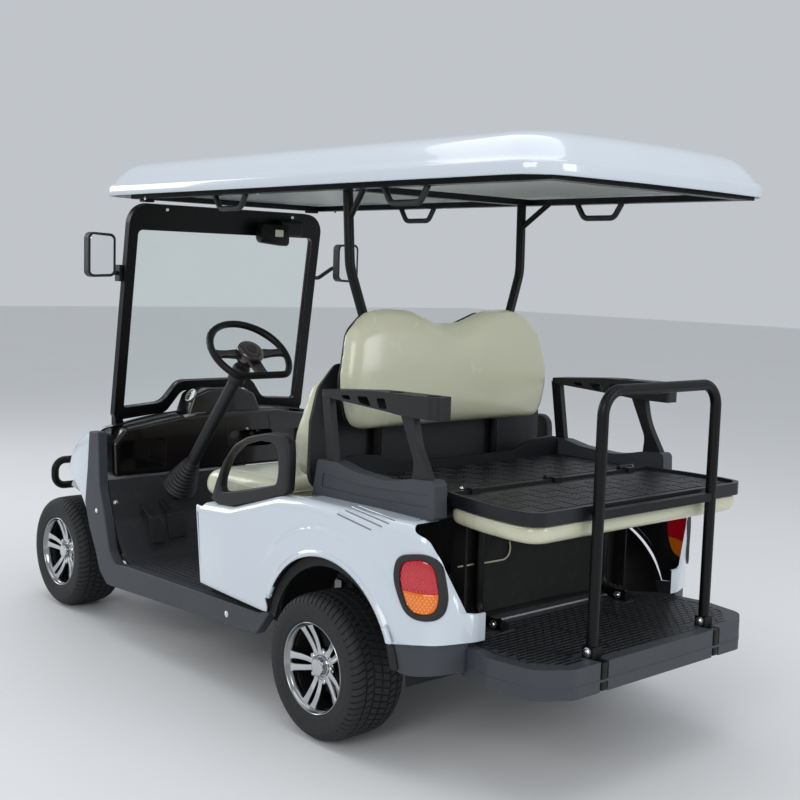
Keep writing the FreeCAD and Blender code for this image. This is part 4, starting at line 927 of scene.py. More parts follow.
def contour(ob, point, normal, n):
    """Points round the loop where a plane cuts an object's mesh, in design mm."""
    bm = bmesh.new()
    bm.from_mesh(ob.data)
    bmesh.ops.transform(bm, matrix=ob.matrix_world, verts=bm.verts)
    p, nn = D(*point), Vector(normal)
    r = bmesh.ops.bisect_plane(bm, geom=bm.verts[:] + bm.edges[:] + bm.faces[:], plane_co=p, plane_no=nn)
    pts = [g.co.copy() for g in r["geom_cut"] if isinstance(g, bmesh.types.BMVert)]
    bm.free()
    c = sum(pts, Vector()) / len(pts)
    a = nn.orthogonal().normalized()
    b = nn.cross(a)
    pts.sort(key=lambda q: atan2((q - c).dot(b), (q - c).dot(a)))
    out = [(q.x * 1000 + OX, q.y * 1000, q.z * 1000 + OZ) for q in pts]
    return resample(out, n), Vector((c.x * 1000 + OX, c.y * 1000, c.z * 1000 + OZ))


def piping(name, ob, point, normal, body, r=2.6, sink=1.0, n=260):
    pts, c = contour(ob, point, normal, n)
    P = np.array(pts)
    for _ in range(3):
        P = (np.roll(P, 1, 0) + 2 * P + np.roll(P, -1, 0)) / 4
    nn = Vector(normal).normalized()
    path = []
    for q in P:
        v = Vector(q)
        out = (v - c)
        out = (out - nn * out.dot(nn)).normalized()
        path.append(v - out * sink)
    V, F = sweep_data(path, circle(r, 8), closed=True, up=normal)
    return piece(name, V, F, "piping", body)


def clamp_low(z):
    def f(co):
        co = co.copy()
        co[:, 2] = np.maximum(co[:, 2], (z - OZ) / 1000)
        return co
    return f


def clamp_seat(co):
    co = co.copy()
    co[:, 2] = np.maximum(co[:, 2], (600.0 - OZ) / 1000)
    co[:, 2] = np.minimum(co[:, 2], (716.0 - OZ) / 1000)
    co[:, 0] = np.clip(co[:, 0], (283.0 - OX) / 1000, (722.0 - OX) / 1000)
    co[:, 1] = np.clip(co[:, 1], -0.511, 0.511)
    return co


def clamp_front_back(co):
    co = co.copy()
    back = (182.3 - (co[:, 2] * 1000 + OZ - 724) * 0.0298 - OX) / 1000
    co[:, 0] = np.maximum(co[:, 0], back)
    co[:, 0] = np.minimum(co[:, 0], (277.0 - OX) / 1000)
    co[:, 1] = np.clip(co[:, 1], -0.494, 0.494)
    return co


def clamp_flip(co):
    co = co.copy()
    co[:, 2] = np.minimum(co[:, 2], (731.0 - OZ) / 1000)
    co[:, 2] = np.maximum(co[:, 2], (682.0 - OZ) / 1000)
    co[:, 0] = np.clip(co[:, 0], (-676.0 - OX) / 1000, (-347.5 - OX) / 1000)
    co[:, 1] = np.clip(co[:, 1], -0.447, 0.447)
    return co


seat = cushion("front_bench_cushion", "seat_cushion", 0.010, 26, 0.010, 0.024, clamp=clamp_seat)
piping("front_bench_piping", seat, (500, 0, 668), (0, 0, 1), "front_seat", 2.8, 1.2)
fback = cushion("front_backrest", "front_seat_back", 0.009, 22, 0.008, 0.020, clamp=clamp_front_back)
flip = cushion("flip_seat_cushion", "flip_cushion", 0.008, 10, 0.005, 0.012, clamp=clamp_flip)
piping("flip_seat_piping", flip, (-500, 0, 724), (0, 0, 1), "rear_flip_seat", 2.2, 0.6)


def rear_back():
    """Rear backrest: one closed form drawn over the outline, full in the middle and rolled at its edges."""
    face = [(-395, 876, 55), (-432, 1010, 150), (-402, 1158, 85), (-330, 1214, 70), (-251, 1228, 60), (-155, 1223, 70), (-48, 1187, 80), (48, 1187, 80), (155, 1223, 70),
            (251, 1228, 60), (330, 1216, 70), (402, 1158, 85), (432, 1010, 150), (395, 876, 55)]
    n = 240
    out = resample(rounded(face, 12), n)
    cy, cz = 0.0, 1030.0

    def back_x(z):
        return 118.0 + (z - 870) * 0.0325 if z < 1060 else 124.2 + (z - 1060) * 0.1283

    rolls = [(0.985, 0.0), (1.0, 0.10), (1.0, 0.26), (0.992, 0.42), (0.975, 0.58), (0.948, 0.72), (0.91, 0.84), (0.865, 0.92), (0.80, 0.965), (0.72, 0.985),
             (0.62, 0.997), (0.5, 1.004), (0.38, 1.008), (0.26, 1.01), (0.14, 1.011), (0.05, 1.011)]
    V, F = [], []
    for s, h in rolls:
        for y, z in out:
            if s > 0.86:                       # near the edge the outline is followed at an even distance
                dy, dz = y - cy, z - cz
                L = hypot(dy, dz)
                k = (L - (1 - s) * 330.0) / L
            else:
                dy, dz = y - cy, z - cz
                L = hypot(dy, dz)
                k0 = (L - 0.14 * 330.0) / L
                k = k0 * s / 0.86
            yy, zz = cy + dy * k, cz + dz * k
            thick = 66.0 - 6.0 * smoothstep(1120, 1220, zz) + 4.0 * exp(-((zz - 930) / 70.0) ** 2) - 5.0 * exp(-(yy / 90.0) ** 2) * smoothstep(1040, 1180, zz)
            bx = back_x(zz) + 0.4
            V.append((bx - thick * h, yy, zz))
    m = len(rolls)
    for k in range(m - 1):
        for i in range(n):
            j = (i + 1) % n
            F.append((k * n + i, k * n + j, (k + 1) * n + j, (k + 1) * n + i))
    F.append(tuple(range(n)))
    F.append(tuple((m - 1) * n + i for i in range(n)))
    return V, F


def swell(name, node, data, cap, clamp, voxel=0.008, rounds=6, press=4.0):
    V, F = data
    ob = piece(name, V, F, None, ride=False)
    m = ob.modifiers.new("remesh", "REMESH")
    m.mode = "VOXEL"
    m.voxel_size = voxel
    bake_modifiers(ob)
    me = ob.data
    co = relax(me, coords(me), rounds)
    set_coords(me, co)
    co = even(me, co, 0)
    set_coords(me, co)
    c = ob.modifiers.new("cloth", "CLOTH")
    s = c.settings
    s.use_pressure = True
    s.uniform_pressure_force = press
    s.effector_weights.gravity = 0.0
    s.quality = 5
    s.mass = 0.3
    s.tension_stiffness = s.compression_stiffness = 20.0
    s.shear_stiffness = 10.0
    s.bending_stiffness = 4.0
    c.point_cache.frame_start = 1
    c.point_cache.frame_end = 20
    sc = bpy.context.scene
    for f in range(1, 21):
        sc.frame_set(f)
    dg = bpy.context.evaluated_depsgraph_get()
    new = coords(ob.evaluated_get(dg).to_mesh())
    ob.evaluated_get(dg).to_mesh_clear()
    ob.modifiers.clear()
    sc.frame_set(1)
    co = co + normals(me) * (swelling(me, co, new)[:, None] * cap)
    co = relax(me, co, 2)
    co = clamp(co)
    set_coords(me, co)
    m = ob.modifiers.new("sub", "SUBSURF")
    m.levels = m.render_levels = 1
    bake_modifiers(ob)
    shade(ob.data, 80)
    finish_piece(ob, "cream", BODY_OF[node], (node,))
    return ob


def clamp_rear_back(co):
    co = co.copy()
    z = co[:, 2] * 1000 + OZ
    back = np.where(z < 1060, 118.0 + (z - 870) * 0.0325, 124.2 + (z - 1060) * 0.1283)
    co[:, 0] = np.minimum(co[:, 0], (back - OX) / 1000)
    co[:, 0] = np.maximum(co[:, 0], (48.0 - OX) / 1000)
    return co


rback = swell("rear_backrest", "rear_seat_back", rear_back(), 0.006, clamp_rear_back)

for _n in ("armrest_left", "armrest_right"):
    _o = bpy.data.objects.get(_n + "_skin")
    if _o is None:
        continue
    # the tub below each arm takes the lighter grey: partly its own grey plastic, partly a painted reflection of the sky
    # on it
    _o.data.materials.append(M["dark"])
    _k = len(_o.data.materials) - 1
    for _p in _o.data.polygons:
        if _p.center.z * 1000 + OZ < 806.0 and abs(_p.center.y) > 0.45:
            _p.material_index = _k

# ------------------------------------------------------------ hip restraints
HIP_OUT = [(572, 604, 18), (545, 668, 60), (508, 738, 60), (446, 803, 70), (372, 836, 70), (274, 858, 60), (190, 862, 28), (166, 838, 24),
           (163, 784, 40), (168, 694, 10), (300, 652, 60), (470, 606, 30)]
HIP_IN = [(520, 645, 14), (512, 695, 50), (472, 761, 60), (410, 805, 60), (324, 829, 50), (244, 832, 16), (222, 816, 16), (217, 756, 40),
          (225, 712, 16), (371, 676, 60), (460, 655, 40)]


def hip(side):
    n = 150
    def ease(pts, m, k):
        P = np.array(resample(pts, m))
        for _ in range(k):
            P = (np.roll(P, 1, 0) + 2 * P + np.roll(P, -1, 0)) / 4
        return [tuple(a) for a in P]
    o = ease(rounded(HIP_OUT, 8), n, 4)
    q = ease(rounded(HIP_IN, 8), 160, 4)
    cx, cz = 375.0, 742.0
    tree_in = resample(q, 1200)
    V, F = [], []
    y0, y1 = 533.0, 564.0
    R = 8.0
    sec = []
    for k in range(5):
        w = pi / 2 * k / 4
        sec.append((R - R * sin(w), y1 - R + R * cos(w)) if False else (R * (1 - cos(w)), y1 - R + R * sin(w)))
    m = None
    for i in range(n):
        ox, oz = o[i]
        ang = atan2(oz - cz, ox - cx)
        best = min(tree_in, key=lambda p: abs((atan2(p[1] - cz, p[0] - cx) - ang + pi) % (2 * pi) - pi))
        L = hypot(best[0] - ox, best[1] - oz)
        ux, uz = (best[0] - ox) / L, (best[1] - oz) / L
        ring = []
        for s, y in sec:                                  # outer edge round to the outer face
            ring.append((s, y))
        ring.append((L * 0.5, y1 - 1.2))                  # face a little hollow
        for s, y in reversed(sec):
            ring.append((L - s, y))
        for s, y in sec:
            ring.append((L - s, y0 + (y1 - y)))
        ring.append((L * 0.5, y0))
        for s, y in reversed(sec):
            ring.append((s, y0 + (y1 - y)))
        m = len(ring)
        for s, y in ring:
            V.append((ox + ux * s, side * y, oz + uz * s))
    for i in range(n):
        j = (i + 1) % n
        for k in range(m):
            k2 = (k + 1) % m
            F.append((i * m + k, i * m + k2, j * m + k2, j * m + k))
    return V, F


_hl, _hr = hip(1), hip(-1)
piece("hip_restraint_left", _hl[0], _hl[1], "arm", "chassis", ("hip_restraints",), angle=60)
piece("hip_restraint_right", _hr[0], _hr[1], "arm", "chassis", angle=60)

# -------------------------------------------------------------- taillights
LAMP = [(-66, 612, 22), (20, 628, 30), (54, 612, 24), (72, 520, 20), (66, 466, 22), (10, 460, 30), (-36, 470, 30), (-73, 552, 30)]


def clip_half(pts, level, above):
    out = []
    n = len(pts)
    for i in range(n):
        a, b = pts[i], pts[(i + 1) % n]
        ia = (a[1] >= level) == above
        ib = (b[1] >= level) == above
        if ia:
            out.append(a)
        if ia != ib:
            t = (level - a[1]) / (b[1] - a[1])
            out.append((a[0] + (b[0] - a[0]) * t, level))
    return out


def taillight(side):
    w = radians(116.9)
    udir = Vector((-sin(w), side * cos(w), 0))
    ndir = Vector((cos(w), side * sin(w), 0))
    base = Vector((-385, side * 541, 0))

    cache = {}

    def surf(u, v, h):
        key = (round(u, 2), round(v, 2))
        if key not in cache:
            p = base + udir * u + Vector((0, 0, v)) + ndir * 90
            q = cast(D(*p), -ndir, "taillights")
            k = 1.0
            while q is None and k > 0.9:
                k -= 0.01
                uu, vv = u * k, 542 + (v - 542) * k
                p = base + udir * uu + Vector((0, 0, vv)) + ndir * 90
                q = cast(D(*p), -ndir, "taillights")
                if q is not None:
                    cache[key] = Vector((q[0].x * 1000 + OX, q[0].y * 1000, q[0].z * 1000 + OZ)) + udir * (u - uu) + Vector((0, 0, v - vv))
            if key not in cache:
                cache[key] = Vector((q[0].x * 1000 + OX, q[0].y * 1000, q[0].z * 1000 + OZ)) if q else base + udir * u + Vector((0, 0, v))
        return cache[key] + ndir * h

    cu0, cv0 = -2.0, 543.0
    outer = np.array(resample(rounded(LAMP, 8), 96))
    for _ in range(16):
        outer = (np.roll(outer, 1, 0) + 2 * outer + np.roll(outer, -1, 0)) / 4
    outer = [tuple(q) for q in outer]
    outer = [(u + (u - cu0) / hypot(u - cu0, v - cv0) * 4.5, v + (v - cv0) / hypot(u - cu0, v - cv0) * 4.5) for u, v in outer]
    cu, cv = -2.0, 543.0
    lens = [(cu + (u - cu) * 0.735, cv + (v - cv) * 0.815) for u, v in outer]
    nm = "left" if side > 0 else "right"
    V, F = [], []
    rows = [(0.0, -10), (0.0, 4.6), (0.10, 6.6), (0.5, 7.4), (0.88, 6.4), (1.0, 3.6), (1.0, -8)]
    for s, h in rows:
        for a, b in zip(outer, lens):
            V.append(surf(a[0] + (b[0] - a[0]) * s, a[1] + (b[1] - a[1]) * s, 0) + ndir * (h - 4.0))
    n = len(outer)
    for k in range(len(rows)):
        k2 = (k + 1) % len(rows)
        for i in range(n):
            j = (i + 1) % n
            F.append((k * n + i, k * n + j, k2 * n + j, k2 * n + i))
    piece("taillight_%s_bezel" % nm, V, F, "black", "chassis", ("taillights",))
    top = max(v for _, v in lens)
    low = min(v for _, v in lens)
    split = top - 0.61 * (top - low)
    for part, above, mat, dot in (("red", True, "red", "red_led"), ("amber", False, "amber", "amber_led")):
        poly = resample(clip_half(lens, split, above), 72)
        pu = sum(p[0] for p in poly) / len(poly)
        pv = sum(p[1] for p in poly) / len(poly)
        rings = [(1.0, -10.0), (1.0, 1.0), (0.975, 2.4), (0.9, 3.6), (0.75, 4.4), (0.55, 4.9), (0.35, 5.2), (0.15, 5.3)]
        V, F = [], []
        for k, h in rings:
            for u, v in poly:
                V.append(surf(pu + (u - pu) * k, pv + (v - pv) * k, h - 4.0))
        n = len(poly)
        for a in range(len(rings) - 1):
            for i in range(n):
                j = (i + 1) % n
                F.append((a * n + i, a * n + j, (a + 1) * n + j, (a + 1) * n + i))
        F.append(tuple(range(n)))
        F.append(tuple((len(rings) - 1) * n + i for i in range(n)))
        piece("taillight_%s_%s" % (nm, part), V, F, mat)
        data = []
        v0 = low + 7
        row = 0
        while v0 < top - 5:
            u0 = -60 + (5.4 if row % 2 else 0)
            while u0 < 60:
                inside = False
                jn = len(poly)
                for i in range(jn):
                    a, b = poly[i], poly[(i + 1) % jn]
                    if (a[1] > v0) != (b[1] > v0) and u0 < (b[0] - a[0]) * (v0 - a[1]) / (b[1] - a[1]) + a[0]:
                        inside = not inside
                edge = min(hypot(p[0] - u0, p[1] - v0) for p in poly)
                if inside and edge > 5.0:
                    c = surf(u0, v0, 0.6)
                    vv, ff = [], []
                    for rr, hh in ((3.1, 0.0), (2.8, 1.0), (1.6, 1.8)):
                        for q in range(8):
                            t = 2 * pi * q / 8
                            vv.append(c + udir * (rr * cos(t)) + Vector((0, 0, rr * sin(t))) + ndir * hh)
                    for a in range(2):
                        for q in range(8):
                            ff.append((a * 8 + q, a * 8 + (q + 1) % 8, (a + 1) * 8 + (q + 1) % 8, (a + 1) * 8 + q))
                    ff.append(tuple(range(8)))
                    ff.append(tuple(16 + q for q in range(8)))
                    data.append((vv, ff))
                u0 += 10.8
            v0 += 7.6
            row += 1
        V, F = merge(*data)
        piece("taillight_%s_%s_leds" % (nm, part), V, F, dot)


taillight(1)
taillight(-1)

# ---------------------------------------------------------------- mirrors
for _s, _nm in ((1, "left"), (-1, "right")):
    _pts = rounded([(_s * 509, 1297, 15), (_s * 509, 1429, 15), (_s * 597, 1433, 15), (_s * 597, 1293, 15)], 6)
    _v, _f = prism(_pts, "YZ", 1303.2, 1306.6, 0.6)
    piece("mirror_glass_" + _nm, _v, _f, "mirror")
soften("mirrors", 3.0, 2)

# ---------------------------------------------------- deck and footboard tread
def point_in(poly, x, y):
    inside = False
    n = len(poly)
    for i in range(n):
        a, b = poly[i], poly[(i + 1) % n]
        if (a[1] > y) != (b[1] > y) and x < (b[0] - a[0]) * (y - a[1]) / (b[1] - a[1]) + a[0]:
            inside = not inside
    return inside


def weave(name, poly, z, body, cell=58.0, ribs=4, height=2.0, x_off=0.0):
    xs = [p[0] for p in poly]
    ys = [p[1] for p in poly]
    data = []
    nx = int((max(xs) - min(xs)) // cell)
    ny = int((max(ys) - min(ys)) // cell)
    x_start = (max(xs) + min(xs)) / 2 - nx * cell / 2
    y_start = (max(ys) + min(ys)) / 2 - ny * cell / 2
    for i in range(nx):
        for j in range(ny):
            x0, y0 = x_start + i * cell, y_start + j * cell
            for k in range(ribs):
                p = (cell - 3.0) / ribs
                if (i + j) % 2:
                    q = (x0 + 1.5 + k * p, x0 + 1.5 + (k + 1) * p - 2.6, y0 + 2.5, y0 + cell - 2.5)
                else:
                    q = (x0 + 2.5, x0 + cell - 2.5, y0 + 1.5 + k * p, y0 + 1.5 + (k + 1) * p - 2.6)
                if all(point_in(poly, a, b) for a in q[:2] for b in q[2:]):
                    data.append(rib(q[0], q[1], q[2], q[3], z - 0.4, z + height, 1.0))
    V, F = merge(*data)
    return piece(name, V, F, "tread", body, angle=60)


PLATE = [(-341, 418, 4), (-341, -418, 4), (-480, -444, 300), (-600, -451, 120), (-662, -441, 50), (-680, -408, 40), (-680, 408, 40), (-662, 441, 50),
         (-600, 451, 120), (-480, 444, 300)]
_plate_in = [((u + 20) if u < -345 else u - 30, v - (24 if v > 0 else -24)) for u, v in rounded(PLATE, 4)]
weave("flip_panel_tread", _plate_in, 757.0, "rear_flip_seat")
weave("cargo_deck_tread", [(-288, -448), (36, -448), (36, 448), (-288, 448)], 751.0, "chassis")

FB = [(-332, 350, 30), (-420, 436, 40), (-560, 462, 80), (-690, 440, 60), (-748, 352, 40), (-748, -352, 40), (-690, -440, 60), (-560, -462, 80),
      (-420, -436, 40), (-332, -350, 30)]


def inset(pts, k):
    n = len(pts)
    out = []
    for i in range(n):
        p, q, r = Vector(pts[i - 1]), Vector(pts[i]), Vector(pts[(i + 1) % n])
        e = (r - p)
        nn = Vector((-e.y, e.x)).normalized()
        out.append(q + nn * k)
    area = sum(pts[i][0] * pts[(i + 1) % n][1] - pts[(i + 1) % n][0] * pts[i][1] for i in range(n))
    if area < 0:
        out = [Vector(pts[i]) - (o - Vector(pts[i])) for i, o in enumerate(out)]
    return [tuple(o) for o in out]


_fb = resample(rounded(FB, 8), 220)
_fbi = inset(_fb, 30.0)
_top = cast(D(-560, 0, 500), (0, 0, -1), "footboard")[0].z * 1000 + OZ
_data = []
_row = 0
_x = -732.0
while _x < -380:
    _y = -450.0 + (17.0 if _row % 2 else 0.0)
    while _y < 450:
        _q = (_x, _x + 13.5, _y, _y + 31.0)
        if all(point_in(_fbi, a, b) for a in _q[:2] for b in _q[2:]) and not (abs(abs(_y + 15) - 240) < 36 and _x < -672) \
                and not (abs(abs(_y + 15) - 265) < 34 and _x > -440):
            _data.append(rib(_q[0], _q[1], _q[2], _q[3], _top - 0.4, _top + 1.6, 1.0))
        _y += 34.0
    _x += 16.5
    _row += 1
_v, _f = merge(*_data)
piece("footboard_tread", _v, _f, "tread", angle=60)
# raised outlines of the two standing places
_data = []
for _s in (1, -1):
    _loop = rounded([(-420, _s * 120, 50), (-430, _s * 400, 60), (-560, _s * 424, 60), (-664, _s * 405, 50), (-690, _s * 300, 40), (-690, _s * 120, 40)], 8)
    _loop = resample(_loop, 120)
    _data.append(sweep_data([(u, v, _top + 0.4) for u, v in _loop], [(1.4, 2.6), (1.4, -2.6), (-1.2, -3.6), (-1.2, 3.6)], closed=True, up=(0, 0, 1)))
_v, _f = merge(*_data)
piece("footboard_outline", _v, _f, "black", angle=40)
# band round the skirt
_band = [p for p in inset(_fb, -0.2)]
_v, _f = sweep_data([(u, v, 333.0) for u, v in _band], [(-4.0, -1.6), (-2.6, 0.9), (2.6, 0.9), (4.0, -1.6)], closed=True, up=(0, 0, 1))
piece("footboard_band", _v, _f, "dark", angle=40)


# --------------------------------------------------------- steering wheel
SW_C, SW_A, SW_T = Vector((767.0, 290.0, 1050.0)), Vector((-0.645555, 0.0, 0.763714)), Vector((0.763714, 0.0, 0.645555))
SW_R = Vector((0.0, -1.0, 0.0))


def sw(a, b, c=0.0):
    return SW_C + SW_R * a + SW_T * b + SW_A * c


def steering():
    pts = []
    for k in range(0, 131):
        w = radians(-46 + (226 + 46) * k / 130.0)
        pts.append((142 * cos(w), 142 * sin(w)))
    for k in range(1, 24):
        u = k / 24.0
        pts.append((-98.6 + 197.2 * u, -105.0))
    P = np.array(resample(pts, 180))
    for _ in range(7):
        P = (np.roll(P, 1, 0) + 2 * P + np.roll(P, -1, 0)) / 4
    path = [sw(a, b) for a, b in P]
    n = len(path)
    V, F = [], []
    m = 14
    for i in range(n):
        T = (path[(i + 1) % n] - path[i - 1]).normalized()
        v = SW_A.cross(T).normalized()
        ang = degrees(atan2(P[i][1], P[i][0])) % 360
        grip = 1.6 * sum(exp(-((ang - g) / 14.0) ** 2) for g in (38, 142))
        for k in range(m):
            w = 2 * pi * k / m
            r1, r2 = 11.6 + grip, 12.2 + grip * 0.6
            # finger waves on the inner side
            wave = 0.7 * max(0.0, -cos(w)) * sin(i * 2 * pi * 40 / n) if 10 < ang < 170 else 0.0
            V.append(path[i] + v * ((r1 + wave) * cos(w)) + SW_A * (r2 * sin(w)))
    for i in range(n):
        j = (i + 1) % n
        for k in range(m):
            k2 = (k + 1) % m
            F.append((i * m + k, i * m + k2, j * m + k2, j * m + k))
    piece("steering_wheel_ring", V, F, "frame", "steering_wheel", ("steering_wheel",), angle=60)
    data = []
    for ang, r0, r1, w0, w1 in ((0, 36, 136, 21, 15), (180, 36, 136, 21, 15), (270, 34, 101, 24, 22)):
        w = radians(ang)
        ux, uy = cos(w), sin(w)
        path, steps = [], 12
        for k in range(steps + 1):
            u = k / steps
            r = r0 + (r1 - r0) * u
            path.append(sw(ux * r, uy * r, -5.0 + 4.0 * u))

        def sec(u, w0=w0, w1=w1):
            wd = w0 + (w1 - w0) * smoothstep(0, 0.6, u) + 5.0 * smoothstep(0.82, 1.0, u)
            h, e = 6.5, 2.5
            return [(-h, -wd + e), (-h + e, -wd), (h - e, -wd), (h, -wd + e), (h - 1.6, -wd + 7), (h - 1.6, wd - 7), (h, wd - e), (h - e, wd), (-h + e, wd), (-h, wd - e)]
        data.append(sweep_data(path, sec, up=SW_A))
    V, F = merge(*data)
    piece("steering_wheel_spokes", V, F, "gloss", "steering_wheel", angle=40)
    lathe("steering_wheel_hub", [(-33, 0), (-33, 36), (-29, 41), (-12, 46), (2, 48), (9, 47), (15, 43.5), (19, 37), (21, 28), (21.6, 14), (21.6, 0)], SW_C, SW_A,
          "cap", 56, "steering_wheel", angle=60)
    lathe("steering_wheel_emblem_blank", [(20.0, 0), (20.0, 19), (22.6, 19), (23.2, 17.6), (22.4, 16.6), (22.2, 0)], SW_C, SW_A, "gloss", 40, "steering_wheel")


steering()

# column with its pleated boot
COL_FOOT = SW_C - SW_A * 694.0
prof = [(-38, 0), (-38, 21), (8, 21), (10, 56), (14, 62), (19, 63)]
for _k in range(8):
    _t = 24 + _k * 14.5
    _r = 62 - _k * 4.2
    prof += [(_t, _r - 5.0), (_t + 4.0, _r - 2.0), (_t + 8.0, _r - 0.2), (_t + 11.5, _r - 2.5)]
prof += [(141, 27), (150, 26), (152, 23), (160, 22), (560, 22), (563, 27), (570, 30.5), (618, 30.5), (628, 27), (631, 22), (631, 0)]
lathe("steering_column_and_boot", prof, COL_FOOT, SW_A, "black", 48, "chassis", ("steering_column",), angle=40)

# ---------------------------------------------------------- small hardware
def dm(loc):
    return Vector((loc.x * 1000 + OX, loc.y * 1000, loc.z * 1000 + OZ))


def px_bolt(name, px, py, nodes, r, mat="bolt", height=5.0, both_sides=True):
    q = hit(px, py, *nodes)
    if q is None:
        print("no hit for", name)
        return
    bolt(name, q[0], q[1], r, mat, "chassis", height)
    if both_sides:
        bolt(name + "_mirrored", Vector((q[0].x, -q[0].y, q[0].z)), Vector((q[1].x, -q[1].y, q[1].z)), r, mat, "chassis", height)


px_bolt("rocker_bolt", 226.5, 614, ("rocker_panels",), 8.0)
px_bolt("sill_bolt_front", 115.8, 502.7, ("rocker_panels", "floorboard"), 7.0)
px_bolt("sill_bolt_outer", 96.5, 510.4, ("rocker_panels", "front_cowl"), 7.0)
for _i, (_x, _y) in enumerate(((145.2, 198.1), (258.1, 193.7), (355.2, 188.9), (537, 183.3))):
    px_bolt("roof_rail_bolt_%d" % _i, _x, _y, ("roof_frame",), 5.0, "bolt", 3.0)
px_bolt("windshield_clip", 167.4, 209.6, ("windshield_frame",), 5.0, "bolt", 3.0)

for _s, _nm in ((1, "left"), (-1, "right")):
    # lower bracket of the hoop, in the footboard's notch
    _d = [prism(rounded([(-749, _s * 229, 3), (-722, _s * 229, 1), (-722, _s * 251, 1), (-749, _s * 251, 3)], 3), "XY", 307, 380, 1.0),
          prism(rounded([(-722, _s * 221.5, 4), (-686, _s * 221.5, 4), (-686, _s * 258.5, 4), (-722, _s * 258.5, 4)], 4), "XY", 382.5, 411, 1.5)]
    _v, _f = merge(*_d)
    piece("grab_bar_foot_" + _nm, _v, _f, "frame")
    for _k in (1, -1):
        _y = _s * 240 + _k * 19.0
        bolt("grab_bar_bolt_%s_%s" % (_nm, "a" if _k > 0 else "b"), D(-704, _y, 397), Vector((0, _k, 0)), 10.0, "bolt", "chassis", 6.0)
        bolt("seat_leg_bolt_%s_%s" % (_nm, "a" if _k > 0 else "b"), D(-392, _s * 265 + _k * 14.0, 397), Vector((0, _k, 0)), 10.0, "bolt", "chassis", 7.0)
    for _y in (330.0,):
        bolt("hinge_pin_end_" + _nm, D(-335, _s * 361.0, 768), Vector((0, _s, 0)), 6.0, "bolt", "chassis", 4.0)

# light strip along the footboard's front edge, and the cable behind the seat
_v, _f = rib(-339.5, -333.0, -338, 338, 381.5, 386.0, 1.0)
piece("footboard_edge_strip", _v, _f, "silver")
_pts = []
for _x, _y in ((457, 566.6), (464, 565.4), (471, 564), (477, 563.3), (483, 562.6), (490, 561.4), (497, 560.2), (503, 559), (506.5, 556), (508.6, 551.7), (509, 546), (508.4, 541)):
    _q = hit(_x, _y, "rear_bulkhead")
    if _q is not None:
        _pts.append(dm(_q[0]) + Vector((-4.5, 0, 0)))
if len(_pts) > 4:
    _path = smooth_path(_pts, 20, 4)
    _v, _f = sweep_data(_path, circle(2.6, 10))
    piece("loose_cable", _v, _f, "piping", angle=60)

# wiper motor cover on the windshield's top bar, its label left bare
_q = hit(277, 228, "windshield_frame")
if _q is not None:
    _c = dm(_q[0]) + Vector((0, 35, -19))
    _box = rounded([(_c.y - 66, _c.z - 52, 16), (_c.y + 66, _c.z - 40, 22), (_c.y + 62, _c.z + 30, 10), (_c.y - 66, _c.z + 30, 10)], 6)
    _v, _f = prism(_box, "YZ", _c.x - 44, _c.x + 2, 4.0)
    piece("wiper_motor_cover", _v, _f, "frame", angle=50)
    _lab = rounded([(_c.y - 34, _c.z - 16, 3), (_c.y + 4, _c.z - 16, 3), (_c.y + 4, _c.z + 10, 3), (_c.y - 34, _c.z + 10, 3)], 3)
    _v, _f = prism(_lab, "YZ", _c.x - 45.2, _c.x - 43.8, 0.3)
    piece("wiper_label_blank", _v, _f, "label")

# louvres on the rear shoulders
_dark, _white = [], []
for (_x0, _y0), (_x1, _y1) in (((337.3, 514.0), (371, 530.0)), ((345, 510.4), (382, 526.8)), ((351, 507.9), (389, 523.6)), ((357.5, 506.2), (395, 520.6))):
    _row = []
    for _k in range(13):
        _u = _k / 12.0
        _q = hit(_x0 + (_x1 - _x0) * _u, _y0 + (_y1 - _y0) * _u, "rear_body")
        if _q is not None:
            _row.append((dm(_q[0]), _q[1]))
    if len(_row) < 6:
        continue
    for _s in (1, -1):
        _path = [Vector((p.x, p.y * _s, p.z)) for p, _ in _row]
        _up = sum((nn for _, nn in _row), Vector()) / len(_row)
        _up = Vector((_up.x, _up.y * _s, _up.z))
        _dark.append(sweep_data(_path, [(-1.0, -2.4), (0.4, -1.9), (0.4, 1.9), (-1.0, 2.4)], up=_up))
        _side = _up.cross(_path[-1] - _path[0]).normalized()
        _path2 = [p + _side * 4.6 for p in _path]
        _white.append(sweep_data(_path2, [(-1.0, -2.6), (0.9, -2.0), (1.7, -0.8), (1.7, 0.8), (0.9, 2.0), (-1.0, 2.6)], up=_up))
if _dark:
    _v, _f = merge(*_dark)
    # grey strips in the louvre slots: painted shade inside the slots
    piece("louvre_slot_shade_strips", _v, _f, "slot", angle=50)
    _v, _f = merge(*_white)
    piece("louvre_ribs", _v, _f, "white", angle=50)

